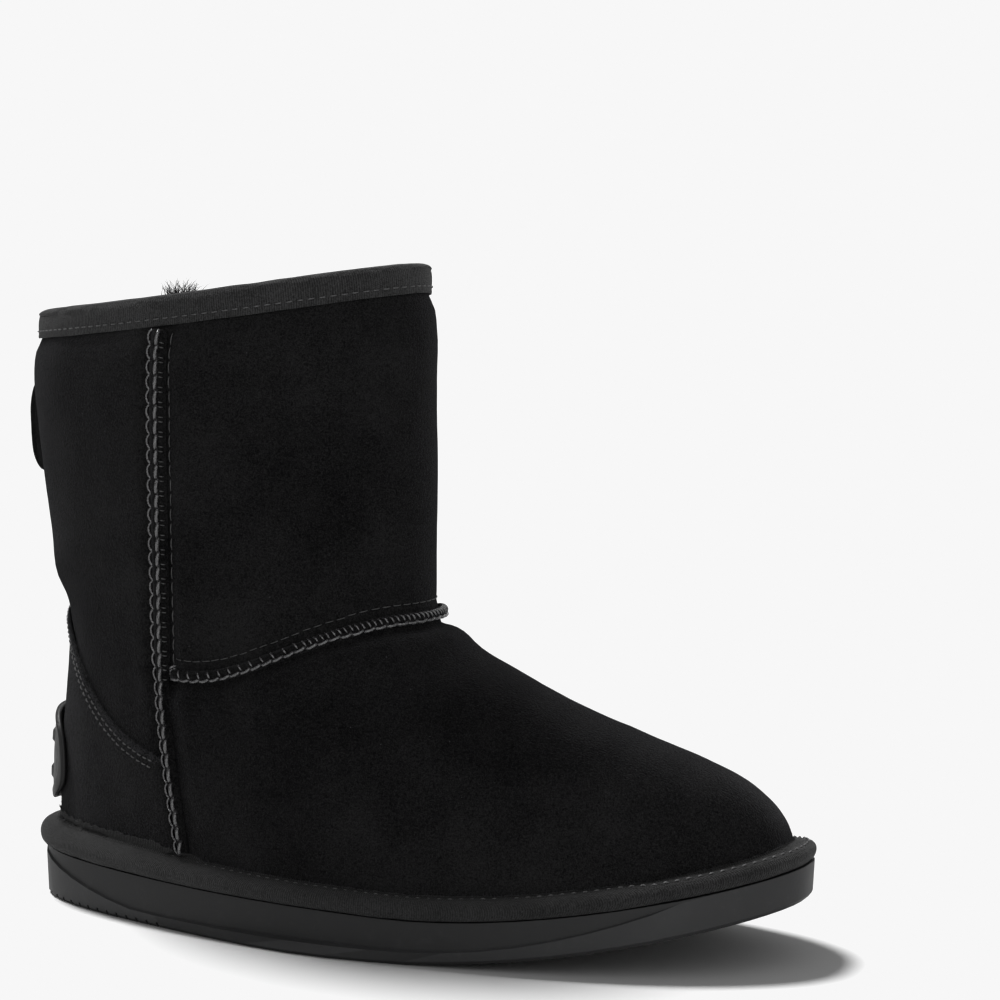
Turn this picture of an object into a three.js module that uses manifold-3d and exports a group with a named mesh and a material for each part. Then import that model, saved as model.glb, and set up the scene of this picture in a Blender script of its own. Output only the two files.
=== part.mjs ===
// Sheepskin ankle boot, right foot, as a three.js scene graph of separate solids.
// Units are millimetres. +X points to the toe, +Y to the inner (medial) side and +Z up.
// The boot stands on z = 0, and the origin is the middle of its footprint.

import * as THREE from "three";
import { mergeVertices } from "three/addons/utils/BufferGeometryUtils.js";
import Module from "manifold-3d";

const wasm = await Module();
wasm.setup();

// ---- Driving sizes ---------------------------------------------------------------------

const SOLE_LENGTH = 275;
const BALL_WIDTH = 103;
const HEEL_THICKNESS = 17; // outsole, from the floor to the binding round its edge
const TOE_THICKNESS = 11;
const TOE_SPRING = 20; // how far the tip of the outsole is lifted off the floor
const SPRING_START = 155; // x where the forefoot begins to curl up
const SPRING_POWER = 1.7;
const ARCH_LIFT = 3; // on the inner side only
const ARCH_PLACE = 104;
const ARCH_HALF_LENGTH = 34;

const WALL = 8; // suede skin with its wool pile
const GAP = 0.3; // between pieces that meet
const COLLAR_FRONT = 215.5;
const COLLAR_BACK = 199;
const COLLAR_SAG = 2; // how far the collar dips at each side

const RAND_HEEL_HEIGHT = 9.4;
const RAND_HEIGHT = 6.9; // from the waist to the toe
const RAND_WAIST = { from: 30, to: 120 }; // x where the heel height falls to the other one
const RAND_BULGE = { heel: 2.4, toe: 0.6 }; // how far the tape stands out over the outsole
const RAND_FOOT = 0.6; // how far in from the outsole's edge it starts
const RAND_SECTION = [
  { inset: 0.8, up: 0.18 }, // in from the bulge, and a share of the height
  { inset: 0, up: 0.42 },
  { inset: 0.5, up: 0.69 },
  { inset: 2.2, up: 0.9 },
];
const RAND_CROWN = { inset: 2.4, share: 0.45, drop: 0.5 }; // its highest line, then down to the upper
const INSOLE = { edge: 4, thickness: 6, round: 1.6 };
const TAPE = 1.1; // thickness of the collar tape
const TAPE_HEM = 0.8; // share of that thickness at its lower edge
const TAPE_CROWN = 1.5; // and over the middle of the wall
const TAPE_SHOULDER = 0.8; // how far below the cut edge it starts to turn over it
const TAPE_DROP = 8.4; // how far the collar tape comes down the shaft
const SEAM_END = 0.8; // from the collar tape down to a side seam
const COUNTER_THICKNESS = 1.5;
const SIDE_CORD = { halfWidth: 3.2, height: 2.5, lowHalfWidth: 2.4, lowHeight: 2.1, lowZ: 78, fullZ: 92 };
const VAMP_CORD = { halfWidth: 2, height: 2.1 };
const LAID_GAP = 0.5; // more than GAP, where a piece crosses the facets of what it is laid on

// Outsole plan. A half width grows from the back to the widest place and falls to the toe.
const SOLE_PLAN = {
  back: 0,
  front: SOLE_LENGTH,
  lateral: 53,
  medial: BALL_WIDTH - 53,
  widest: 0.55, // share of the length
  lateralToe: 2, // exponent of the outline ahead of the widest place, 2 is an ellipse
  medialToe: 2.5,
  lateralWaist: -1, // how far each side is drawn in at the arch
  medialWaist: 12,
  heelRound: 0.28, // how much blunter the heel is than an ellipse
  swing: 6, // how far the toe turns to the inner side
};

// The upper's outer form: a row for each section, from the sole's edge to the collar. Each
// section runs from a point on the back line to a point on the front line, with a half width
// on each side. widest is a share of its length, and follow says how much of the sole's curve
// the section keeps.
const upperRow = (backX, backZ, frontX, frontZ, lateral, medial, widest, follow) => ({
  backX, backZ, frontX, frontZ, lateral, medial, widest, follow,
});
const UPPER_ROWS = [
  upperRow(7, 17.3, 268.5, 31.3, 46.5, 43.5, 0.56, 1),
  upperRow(7.4, 27, 268.3, 39, 47.5, 44.5, 0.555, 0.9),
  upperRow(7.8, 36, 263.3, 48.5, 47, 44, 0.55, 0.7),
  upperRow(7.9, 45, 251.5, 57.5, 45.5, 42, 0.54, 0.45),
  upperRow(8.4, 55, 230.5, 65, 43.5, 40, 0.53, 0.22),
  upperRow(9.2, 66, 203, 73.9, 42, 39, 0.52, 0.08),
  upperRow(10.5, 77, 176, 85.2, 40.5, 39, 0.51, 0),
  upperRow(11.3, 88, 152.5, 96.5, 40, 39.5, 0.5, 0),
  upperRow(9.5, 99, 146.3, 106, 40.5, 40.5, 0.5, 0),
  upperRow(4.4, 121, 146.6, 130, 41.5, 41.5, 0.5, 0),
  upperRow(0.7, 146, 146.4, 160, 43, 43, 0.5, 0),
  upperRow(-2, 172, 146, 187, 43.5, 43.5, 0.5, 0),
  upperRow(-1.8, 189, 145.5, 205, 43, 43, 0.5, 0),
  upperRow(0.6, COLLAR_BACK, 143.5, COLLAR_FRONT, 42, 42, 0.5, 0),
];
const TOP = UPPER_ROWS.length - 1;

// The side seams, from the collar to the sole: where each crosses a height.
const SIDE_SEAM = [
  { z: 215, x: 74 },
  { z: 190, x: 71.2 },
  { z: 150, x: 70.4 },
  { z: 100, x: 69.2 },
  { z: 75, x: 68.8 },
  { z: 55, x: 71 },
  { z: 35, x: 75.2 },
  { z: 10, x: 81 },
];

// The seam between shaft and vamp, from a side seam to the front line.
const VAMP_SEAM = [
  { x: 73, z: 83.8 },
  { x: 83, z: 83.4 },
  { x: 92, z: 84.9 },
  { x: 100, z: 87.4 },
  { x: 108, z: 90.6 },
  { x: 122, z: 96.3 },
  { x: 132, z: 99.7 },
  { x: 140, z: 101.8 },
  { x: 148, z: 102.3 },
];

// The top edge of the heel counter, from its peak at the back to the side seam.
const COUNTER_TOP = [
  { x: 5, z: 103 },
  { x: 12, z: 99 },
  { x: 19, z: 93.4 },
  { x: 27, z: 84 },
  { x: 33, z: 75.4 },
  { x: 41, z: 67.6 },
  { x: 49, z: 62 },
  { x: 58, z: 58 },
  { x: 69, z: 55.2 },
  { x: 90, z: 53 },
];

const BADGE = {
  z: 48, halfWidth: 21, halfHeight: 16.5, thickness: 2.2, squareness: 2.6,
  rings: [0.35, 0.7], // shares of its outline that hold its faces to the heel's curve
  edge: 0.4,
  bevel: 0.97,
};
const LOOP = { topZ: 176, bottomZ: 145, width: 14, strap: 1.8, topSlack: 2.2, bottomSlack: 4.2 };

// Chevron tread. The heel's fine grooves run out through the edge, and the forefoot's end
// `margin` inside it. chevron is how far a groove sweeps back, per half width of the sole.
const TREAD_FIELDS = [
  { from: 14, to: 74, groove: 2, depth: 1.8, pitch: 5, chevron: 7, margin: -20 },
  { from: 160, to: 258, groove: 3, depth: 2.2, pitch: 8.5, chevron: 9, margin: 6 },
];
const TREAD_REACH = 70; // half length of a groove bar, past the sole's edge
const TREAD_TAPER = 0.5; // how much narrower a groove is at its bottom, at each side

// Side wall of the outsole: a scoop over a plain band that rises to the heel and the toe.
const SIDEWALL = {
  recess: 0.9, band: 4, heelRise: 13, heelEnd: 60, toeRise: 8, toeStart: 175, toeLength: 80,
};
const SIDEWALL_EDGE = { round: 1.2, undercut: 0.8, draft: 0.3, lip: 0.6, step: 0.5 };
const FLARE = { width: 3.5, place: 128, length: 34 }; // the sole's outward sweep at the waist

const WAIST = { place: 0.38, length: 0.16 }; // shares of the sole's length
const CORNER_POWER = 2.4; // roundness of a seam cord's section
const SIDE_SEAM_TURNS = [0.3, 2.4]; // where to look for a side seam
const VAMP_SEAM_TURNS = [1.3, 2]; // and for the end of the vamp seam
const SWING_FOLLOW = 1.4; // the upper keeps the sole's swing higher up than its other curves
const FINENESS = {
  upper: 52, sole: 64, badge: 28, // sections round each form
  sideSeam: 24, vampSeam: 38, counterAcross: 26, counterUp: 8, loop: 16, // steps along each
};

// ---- Small helpers ---------------------------------------------------------------------

const { lerp, clamp, smoothstep } = THREE.MathUtils;

// Catmull-Rom value between rows, at a place counted in rows.
function alongRows(values, place) {
  const last = values.length - 1;
  const i = clamp(Math.floor(place), 0, last - 1);
  const f = place - i;
  const [p1, p2] = [values[i], values[i + 1]];
  const p0 = i > 0 ? values[i - 1] : 2 * p1 - p2;
  const p3 = i + 2 <= last ? values[i + 2] : 2 * p2 - p1;
  const [m1, m2] = [(p2 - p0) / 2, (p3 - p1) / 2];
  const f2 = f * f;
  const f3 = f2 * f;
  return (2 * f3 - 3 * f2 + 1) * p1 + (f3 - 2 * f2 + f) * m1 + (3 * f2 - 2 * f3) * p2 + (f3 - f2) * m2;
}

// Smooth reading of a table: the value of column `want` where column `by` is `at`.
function readTable(rows, by, want, at) {
  const rising = rows[rows.length - 1][by] > rows[0][by];
  const inside = clamp(at, ...[rows[0][by], rows[rows.length - 1][by]].sort((a, b) => a - b));
  let i = 0;
  while (i < rows.length - 2 && (rising ? inside > rows[i + 1][by] : inside < rows[i + 1][by])) i++;
  const f = (inside - rows[i][by]) / (rows[i + 1][by] - rows[i][by]);
  return alongRows(rows.map((row) => row[want]), i + f);
}

// Halves an interval until f changes sign, for a place where f is 0.
function solve(f, low, high) {
  const sign = Math.sign(f(low));
  for (let i = 0; i < 40; i++) {
    const middle = (low + high) / 2;
    if (Math.sign(f(middle)) === sign) low = middle;
    else high = middle;
  }
  return (low + high) / 2;
}

// Closed surface from rings of points. Each ring joins the next; closed says that the last
// ring joins the first, and otherwise each end is capped across from one side to the other.
function ringSolid(rings, { closed = false } = {}) {
  const n = rings[0].length;
  const positions = rings.flat().flatMap((p) => [p.x, p.y, p.z]);
  const index = [];
  const quad = (a, b, c, d) => index.push(a, b, c, a, c, d);
  const joins = closed ? rings.length : rings.length - 1;
  for (let r = 0; r < joins; r++) {
    const here = r * n;
    const next = ((r + 1) % rings.length) * n;
    for (let i = 0; i < n; i++) {
      const j = (i + 1) % n;
      quad(here + i, here + j, next + j, next + i);
    }
  }
  if (!closed) {
    const cap = (base, flip) => {
      for (let i = 0; i < n / 2; i++) {
        const [a, b] = [i, i + 1];
        const [c, d] = [(n - i - 1) % n, (n - i) % n];
        const corners = [a, b, c, d].filter((v, k, all) => all.indexOf(v) === k).map((v) => base + v);
        if (corners.length < 3) continue;
        if (flip) corners.reverse();
        for (let k = 1; k + 1 < corners.length; k++) index.push(corners[0], corners[k], corners[k + 1]);
      }
    };
    cap(0, true);
    cap((rings.length - 1) * n, false);
  }
  return geometryOf(new Float32Array(positions), index);
}

// Grid of points with a thickness: outer and inner are rows of points, joined round the edge.
function plateSolid(outer, inner) {
  const rows = outer.length;
  const columns = outer[0].length;
  const positions = [...outer.flat(), ...inner.flat()].flatMap((p) => [p.x, p.y, p.z]);
  const index = [];
  const at = (layer, r, c) => layer * rows * columns + r * columns + c;
  const quad = (a, b, c, d) => index.push(a, b, c, a, c, d);
  for (let r = 0; r + 1 < rows; r++) {
    for (let c = 0; c + 1 < columns; c++) {
      quad(at(0, r, c), at(0, r, c + 1), at(0, r + 1, c + 1), at(0, r + 1, c));
      quad(at(1, r, c), at(1, r + 1, c), at(1, r + 1, c + 1), at(1, r, c + 1));
    }
  }
  const edge = [];
  for (let c = 0; c + 1 < columns; c++) edge.push([0, c]);
  for (let r = 0; r + 1 < rows; r++) edge.push([r, columns - 1]);
  for (let c = columns - 1; c > 0; c--) edge.push([rows - 1, c]);
  for (let r = rows - 1; r > 0; r--) edge.push([r, 0]);
  edge.forEach(([r, c], k) => {
    const [r2, c2] = edge[(k + 1) % edge.length];
    quad(at(0, r2, c2), at(0, r, c), at(1, r, c), at(1, r2, c2));
  });
  return geometryOf(new Float32Array(positions), index);
}

function geometryOf(positions, index) {
  const geometry = new THREE.BufferGeometry();
  geometry.setAttribute("position", new THREE.BufferAttribute(positions, 3));
  geometry.setIndex(index);
  return facingOut(geometry);
}

// Six times the signed volume decides which way the faces point.
function facingOut(geometry) {
  const p = geometry.attributes.position;
  const index = geometry.index.array;
  const [a, b, c] = [new THREE.Vector3(), new THREE.Vector3(), new THREE.Vector3()];
  let volume = 0;
  for (let i = 0; i < index.length; i += 3) {
    a.fromBufferAttribute(p, index[i]);
    b.fromBufferAttribute(p, index[i + 1]);
    c.fromBufferAttribute(p, index[i + 2]);
    volume += a.dot(b.cross(c));
  }
  if (volume < 0) {
    for (let i = 0; i < index.length; i += 3) {
      [index[i + 1], index[i + 2]] = [index[i + 2], index[i + 1]];
    }
  }
  return geometry;
}

function toManifold(geometry) {
  const bare = geometry.clone();
  bare.deleteAttribute("normal");
  bare.deleteAttribute("uv");
  const merged = mergeVertices(bare, 1e-3);
  return new wasm.Manifold(
    new wasm.Mesh({
      numProp: 3,
      vertProperties: new Float32Array(merged.attributes.position.array),
      triVerts: new Uint32Array(merged.index.array),
    }),
  );
}

function fromManifold(solid) {
  const mesh = solid.getMesh();
  return geometryOf(new Float32Array(mesh.vertProperties), [...mesh.triVerts]);
}

// ---- The sole's plan and heights -------------------------------------------------------

const toeLift = (x) => {
  const share = clamp((x - SPRING_START) / (SOLE_LENGTH - SPRING_START), 0, 1.1);
  return TOE_SPRING * share ** SPRING_POWER;
};
const soleBottom = (x, y) => {
  const along = smoothstep(1 - Math.abs(x - ARCH_PLACE) / ARCH_HALF_LENGTH, 0, 1);
  return toeLift(x) + ARCH_LIFT * along * smoothstep(y, -10, 30);
};
const soleTop = (x) => {
  const share = clamp(x / SOLE_LENGTH, 0, 1.05);
  return toeLift(x) + lerp(HEEL_THICKNESS, TOE_THICKNESS, share);
};

const randHeight = (x) =>
  lerp(RAND_HEEL_HEIGHT, RAND_HEIGHT, smoothstep(x, RAND_WAIST.from, RAND_WAIST.to));

// A point of a plan outline. turn is 0 at the back, a quarter turn at the outer side, half a
// turn at the front. The result is the share of the length, and y.
function planPoint(plan, turn) {
  const c = Math.cos(turn);
  const outer = Math.sin(turn) >= 0;
  const share = plan.widest - (c > 0 ? plan.widest : 1 - plan.widest) * c;
  const power = c > 0 ? 2 : outer ? plan.lateralToe : plan.medialToe;
  const fullness = (1 - Math.abs(c) ** power) ** (1 / power);
  const waistDepth = outer ? plan.lateralWaist : plan.medialWaist;
  const waist = waistDepth * Math.exp(-(((share - WAIST.place) / WAIST.length) ** 2));
  const blunt = 1 + plan.heelRound * Math.max(c, 0) ** 8;
  const half = ((outer ? plan.lateral : plan.medial) - waist) * fullness * blunt;
  return { share, y: (outer ? -half : half) + plan.swing * share * share };
}

function solePoint(turn, grow, z) {
  const plan = { ...SOLE_PLAN, lateral: SOLE_PLAN.lateral + grow, medial: SOLE_PLAN.medial + grow };
  const { share, y } = planPoint(plan, turn);
  const x = lerp(SOLE_PLAN.back - grow, SOLE_PLAN.front + grow, share);
  return new THREE.Vector3(x, y, z(x, y));
}

// ---- The upper's outer form ------------------------------------------------------------

// Point of the upper's outer face. row counts up the table, and turn goes round as in planPoint.
function upperPoint(row, turn) {
  const value = (name) => alongRows(UPPER_ROWS.map((r) => r[name]), row);
  const follow = value("follow");
  const plan = {
    lateral: value("lateral"),
    medial: value("medial"),
    widest: value("widest"),
    lateralToe: SOLE_PLAN.lateralToe,
    medialToe: lerp(2, SOLE_PLAN.medialToe, follow),
    lateralWaist: SOLE_PLAN.lateralWaist * follow,
    medialWaist: SOLE_PLAN.medialWaist * follow,
    heelRound: SOLE_PLAN.heelRound * follow,
    swing: SOLE_PLAN.swing * clamp(follow * SWING_FOLLOW, 0, 1),
  };
  const { share, y } = planPoint(plan, turn);
  const x = lerp(value("backX"), value("frontX"), share);
  const straight = lerp(value("backZ"), value("frontZ"), share);
  const base = UPPER_ROWS[0];
  const baseX = lerp(base.backX, base.frontX, share);
  const sag = COLLAR_SAG * smoothstep(row, TOP - 3, TOP) * Math.sin(turn) ** 2;
  const bow = soleTop(baseX) + GAP - lerp(base.backZ, base.frontZ, share);
  return new THREE.Vector3(x, y, straight + bow * follow - sag);
}

const STEP = 1e-3;
const COLLAR_PLANE = new THREE.Vector3(
  COLLAR_BACK - COLLAR_FRONT, 0, UPPER_ROWS[TOP].frontX - UPPER_ROWS[TOP].backX,
).normalize();

// Directions up the form and round it, and the normal, at a place on the upper. Near the collar
// the normal turns into the plane of the cut edge, so that the wall ends square.
function upperFrame(row, turn) {
  const lift = clamp(row, STEP, TOP - STEP);
  const up = upperPoint(lift + STEP, turn).sub(upperPoint(lift - STEP, turn)).divideScalar(2 * STEP);
  const round = upperPoint(row, turn + STEP).sub(upperPoint(row, turn - STEP)).divideScalar(2 * STEP);
  const normal = new THREE.Vector3().crossVectors(round, up).normalize();
  const square = smoothstep(row, TOP - 2, TOP);
  normal.addScaledVector(COLLAR_PLANE, -square * normal.dot(COLLAR_PLANE)).normalize();
  return { point: upperPoint(row, turn), up, round, normal };
}

// The point that stands `height` off the upper, `side` millimetres along a direction from a place.
function offUpper(row, turn, height, direction = null, side = 0) {
  let place = { row, turn };
  if (side) {
    const { up, round, normal } = upperFrame(row, turn);
    const move = direction.clone().projectOnPlane(normal).normalize().multiplyScalar(side);
    const [uu, rr, ur] = [up.dot(up), round.dot(round), up.dot(round)];
    const [um, rm] = [up.dot(move), round.dot(move)];
    const det = uu * rr - ur * ur;
    place = { row: row + (um * rr - rm * ur) / det, turn: turn + (rm * uu - um * ur) / det };
  }
  const { point, normal } = upperFrame(place.row, place.turn);
  return point.addScaledVector(normal, height);
}

// The row where the upper reaches a height on one turn.
const rowAtHeight = (turn, z) => solve((row) => upperPoint(row, turn).z - z, 0, TOP);

// The row where a turn crosses a line that gives z by x.
const rowOnLine = (turn, line, low, high) =>
  solve((row) => {
    const p = upperPoint(row, turn);
    return p.z - readTable(line, "x", "z", p.x);
  }, low, high);

// The row where the surface is `above` the sole's top, or `below` the collar.
const rowAboveSole = (turn, above) =>
  solve((row) => upperPoint(row, turn).z - (soleTop(upperPoint(row, turn).x) + above), 0, 4);
const rowBelowCollar = (turn, below) =>
  solve((row) => upperPoint(TOP, turn).distanceTo(upperPoint(row, turn)) - below, TOP - 3, TOP);

// The turn where a side seam crosses a row. side is 1 for the outer seam and -1 for the inner.
function sideSeamTurn(row, side) {
  const off = (turn) => {
    const p = upperPoint(row, side * turn);
    return p.x - readTable(SIDE_SEAM, "z", "x", p.z);
  };
  return side * solve(off, ...SIDE_SEAM_TURNS);
}

// Section of a seam cord as points of side and lift: a rounded top over a flat base.
function cordSection({ halfWidth, height }) {
  const top = [-1, -0.8, -0.35, 0.35, 0.8, 1].map((s) => ({
    side: s * halfWidth,
    lift: LAID_GAP + height * Math.max(0.12, 1 - Math.abs(s) ** CORNER_POWER),
  }));
  const base = [1, 0.45, -0.45, -1].map((s) => ({ side: s * halfWidth, lift: LAID_GAP }));
  return [...top, ...base];
}

// Cord laid on the upper along places {row, turn}. cordAt gives its size at a point.
function seamSolid(places, cordAt) {
  const points = places.map(({ row, turn }) => upperPoint(row, turn));
  const rings = places.map(({ row, turn }, i) => {
    const ahead = points[Math.min(i + 1, points.length - 1)];
    const behind = points[Math.max(i - 1, 0)];
    const across = new THREE.Vector3().crossVectors(ahead.clone().sub(behind), upperFrame(row, turn).normal);
    return cordSection(cordAt(points[i])).map(({ side, lift }) => offUpper(row, turn, lift, across, side));
  });
  const n = rings[0].length;
  const positions = rings.flat().flatMap((p) => [p.x, p.y, p.z]);
  const index = [];
  for (let r = 0; r + 1 < rings.length; r++) {
    for (let i = 0; i < n; i++) {
      const j = (i + 1) % n;
      index.push(r * n + i, r * n + j, (r + 1) * n + j, r * n + i, (r + 1) * n + j, (r + 1) * n + i);
    }
  }
  const last = (rings.length - 1) * n;
  for (let i = 1; i + 1 < n; i++) {
    index.push(0, i + 1, i);
    index.push(last, last + i, last + i + 1);
  }
  return geometryOf(new Float32Array(positions), index);
}

// ---- The pieces ------------------------------------------------------------------------

const turns = (count) => Array.from({ length: count }, (_, i) => (2 * Math.PI * i) / count);
const steps = (count, from, to) => Array.from({ length: count + 1 }, (_, i) => lerp(from, to, i / count));

// Upper: outer and inner skins of one wall, open at the collar and underneath.
function upper() {
  const round = turns(FINENESS.upper);
  const outerRows = [...steps(4, 0, 2), ...steps(12, 2.5, 8.5), ...steps(5, 9.2, TOP)];
  const innerRows = [...steps(10, 0, 7), ...steps(4, 8, TOP)];
  const inside = (row, turn) => {
    const { point, normal } = upperFrame(row, turn);
    if (row === 0) {
      normal.setZ(0).normalize();
      const p = point.addScaledVector(normal, -WALL);
      return p.setZ(soleTop(p.x) + GAP);
    }
    return point.addScaledVector(normal, -WALL);
  };
  const outer = outerRows.map((row) => round.map((turn) => upperPoint(row, turn)));
  const inner = innerRows.map((row) => round.map((turn) => inside(row, turn))).reverse();
  return ringSolid([...outer, ...inner], { closed: true });
}

// Outsole: moulded foam with a scooped side wall, toe spring, arch and chevron tread.
function outsole() {
  const { round, undercut, draft, lip, step } = SIDEWALL_EDGE;
  const bandTop = (x) => {
    const heel = clamp((SIDEWALL.heelEnd - x) / SIDEWALL.heelEnd, 0, 1) ** 1.5;
    const toe = clamp((x - SIDEWALL.toeStart) / SIDEWALL.toeLength, 0, 1) ** 2;
    const full = soleTop(x) - toeLift(x) - lip;
    return Math.min(full, SIDEWALL.band + SIDEWALL.heelRise * heel + SIDEWALL.toeRise * toe);
  };
  const scoop = (x) => {
    const room = soleTop(x) - toeLift(x) - bandTop(x);
    return SIDEWALL.recess * clamp((room - lip) / 2, 0, 1);
  };
  const flare = (x) => FLARE.width * Math.exp(-(((x - FLARE.place) / FLARE.length) ** 2));
  const ring = (inset, z) =>
    turns(FINENESS.sole).map((turn) => {
      const { x } = solePoint(turn, 0, () => 0);
      return solePoint(turn, -inset(x), z);
    });
  const body = ringSolid([
    ring((x) => undercut + round - flare(x), soleBottom),
    ring((x) => undercut - flare(x), (x, y) => soleBottom(x, y) + round),
    ring((x) => draft - flare(x) / 2, (x) => toeLift(x) + bandTop(x)),
    ring((x) => draft + scoop(x), (x) => toeLift(x) + bandTop(x) + step),
    ring((x) => draft + scoop(x), soleTop),
  ]);
  const cuts = TREAD_FIELDS.map(treadField).reduce((all, field) => all.add(field));
  return fromManifold(toManifold(body).subtract(cuts));
}

// The grooves of one tread field, kept `margin` inside the sole's outline.
function treadField(field) {
  let grooves = null;
  for (let x = field.from; x <= field.to; x += field.pitch) {
    const bar = grooveBar(x, field);
    grooves = grooves ? grooves.add(bar) : bar;
  }
  const outline = (z) => turns(FINENESS.sole).map((turn) => solePoint(turn, -field.margin, () => z));
  const inside = toManifold(ringSolid([outline(-HEEL_THICKNESS), outline(2 * TOE_SPRING)]));
  return grooves.intersect(inside);
}

// A chevron bar that cuts one groove as deep as the field says, all along the toe spring.
function grooveBar(x, { groove, depth, chevron }) {
  const half = groove / 2;
  const top = toeLift(x) + depth;
  const sweep = (y) => (2 * chevron * Math.abs(y)) / BALL_WIDTH;
  const corner = (y, dx, z) => new THREE.Vector3(x + dx - sweep(y), y, z);
  const rings = [-TREAD_REACH, 0, TREAD_REACH].map((y) => [
    corner(y, -half, -HEEL_THICKNESS),
    corner(y, half, -HEEL_THICKNESS),
    corner(y, half - TREAD_TAPER, top),
    corner(y, -half + TREAD_TAPER, top),
  ]);
  return toManifold(ringSolid(rings));
}

// Rand: the rolled tape binding between the outsole and the foot of the upper.
function rand() {
  const bulge = (x) => lerp(RAND_BULGE.heel, RAND_BULGE.toe, clamp(x / SOLE_LENGTH, 0, 1));
  const edge = (turn, grow, lift) => solePoint(turn, grow, (x) => soleTop(x) + lift);
  const wall = (turn, lift) => {
    const { point, normal } = upperFrame(rowAboveSole(turn, lift), turn);
    return point.addScaledVector(normal.setZ(0).normalize(), LAID_GAP);
  };
  const column = (turn) => {
    const { x } = solePoint(turn, 0, () => 0);
    const out = bulge(x);
    const height = randHeight(x);
    return [
      wall(turn, GAP),
      edge(turn, -RAND_FOOT, GAP),
      ...RAND_SECTION.map(({ inset, up }) => edge(turn, out - inset, up * height)),
      wall(turn, height).lerp(edge(turn, -RAND_CROWN.inset, height), RAND_CROWN.share),
      wall(turn, height - RAND_CROWN.drop),
      wall(turn, height / 2),
    ];
  };
  return ringSolid(turns(FINENESS.sole).map(column), { closed: true });
}

// Insole: a sheepskin-covered board that lies on the sole inside the upper.
function insole() {
  const round = turns(FINENESS.upper);
  const ring = (inset, lift) =>
    round.map((turn) => {
      const { point, normal } = upperFrame(rowAboveSole(turn, lift), turn);
      const p = point.addScaledVector(normal.setZ(0).normalize(), -(WALL + 2 * GAP + inset));
      return p.setZ(soleTop(p.x) + lift);
    });
  return ringSolid([ring(0, GAP), ring(0, INSOLE.edge), ring(INSOLE.round, INSOLE.thickness)]);
}

// Collar tape: a channel over the cut edge of the shaft, following the upper's own form.
function collarTape() {
  const round = turns(FINENESS.upper);
  const column = (turn) => {
    const outerAt = (below, lift) => offUpper(rowBelowCollar(turn, below), turn, lift);
    const far = -(WALL + LAID_GAP);
    const rise = upperFrame(TOP, turn).up.normalize();
    const overTop = (lift, up) => offUpper(TOP, turn, lift).addScaledVector(rise, up);
    return [
      outerAt(TAPE_DROP, LAID_GAP),
      outerAt(TAPE_DROP, LAID_GAP + TAPE * TAPE_HEM),
      outerAt(TAPE_DROP / 2, LAID_GAP + TAPE),
      overTop(LAID_GAP + TAPE, -TAPE_SHOULDER),
      overTop(LAID_GAP, LAID_GAP + TAPE),
      overTop(-WALL / 2, LAID_GAP + TAPE * TAPE_CROWN),
      overTop(far, LAID_GAP + TAPE),
      overTop(far - TAPE, -TAPE_SHOULDER),
      outerAt(TAPE_DROP, far - TAPE),
      outerAt(TAPE_DROP, far),
      overTop(far, LAID_GAP),
      overTop(LAID_GAP, LAID_GAP),
    ];
  };
  return ringSolid(round.map(column), { closed: true });
}

// Side seam from just above the rand to just under the collar tape.
function sideSeam(side) {
  const low = rowAboveSole(sideSeamTurn(0.5, side), RAND_HEEL_HEIGHT);
  const highTurn = sideSeamTurn(TOP - 1, side);
  const high = rowBelowCollar(highTurn, TAPE_DROP + SEAM_END);
  const places = steps(FINENESS.sideSeam, low, high).map((row) => ({ row, turn: sideSeamTurn(row, side) }));
  return seamSolid(places, sideCord);
}

// Size of a side seam's cord at a point. It is slimmer beside the vamp than on the shaft.
function sideCord({ z }) {
  const full = smoothstep(z, SIDE_CORD.lowZ, SIDE_CORD.fullZ);
  return {
    halfWidth: lerp(SIDE_CORD.lowHalfWidth, SIDE_CORD.halfWidth, full),
    height: lerp(SIDE_CORD.lowHeight, SIDE_CORD.height, full),
  };
}

// Seam between vamp and shaft, from one side seam round the front to the other.
function vampSeam() {
  const clear = SIDE_CORD.halfWidth + LAID_GAP;
  const start = (side) => {
    const beyond = (turn) => {
      const row = vampSeamRow(turn);
      return upperPoint(row, turn).distanceTo(upperPoint(row, sideSeamTurn(row, side))) - clear;
    };
    return side * solve((turn) => beyond(side * turn), ...VAMP_SEAM_TURNS);
  };
  const along = steps(FINENESS.vampSeam, start(1), 2 * Math.PI + start(-1));
  return seamSolid(along.map((turn) => ({ row: vampSeamRow(turn), turn })), () => VAMP_CORD);
}

// The row where a turn meets the vamp seam.
const vampSeamRow = (turn) => rowOnLine(turn, VAMP_SEAM, 5, TOP - 3);

// Heel counter: an overlay between the side seams, cut from the upper's own form.
function heelCounter() {
  const edgeTurn = (row, side) => {
    const seam = sideSeamTurn(row, side);
    const { point, round } = upperFrame(row, seam);
    const clear = sideCord(point).halfWidth + LAID_GAP;
    return seam - (side * clear) / round.length();
  };
  const columns = steps(FINENESS.counterAcross, 1, -1);
  const rows = steps(FINENESS.counterUp, 0, 1);
  const layer = (lift) =>
    rows.map((share) =>
      columns.map((c) => {
        const side = Math.sign(c) || 1;
        let row = 2;
        let turn = 0;
        for (let pass = 0; pass < 3; pass++) {
          turn = Math.abs(c) * edgeTurn(row, side);
          const low = rowAboveSole(turn, randHeight(upperPoint(0, turn).x) + LAID_GAP);
          const high = rowOnLine(turn, COUNTER_TOP, 1, TOP - 2);
          row = lerp(low, high, share);
        }
        return offUpper(row, turn, lift);
      }),
    );
  return plateSolid(layer(GAP + COUNTER_THICKNESS), layer(GAP));
}

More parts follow.
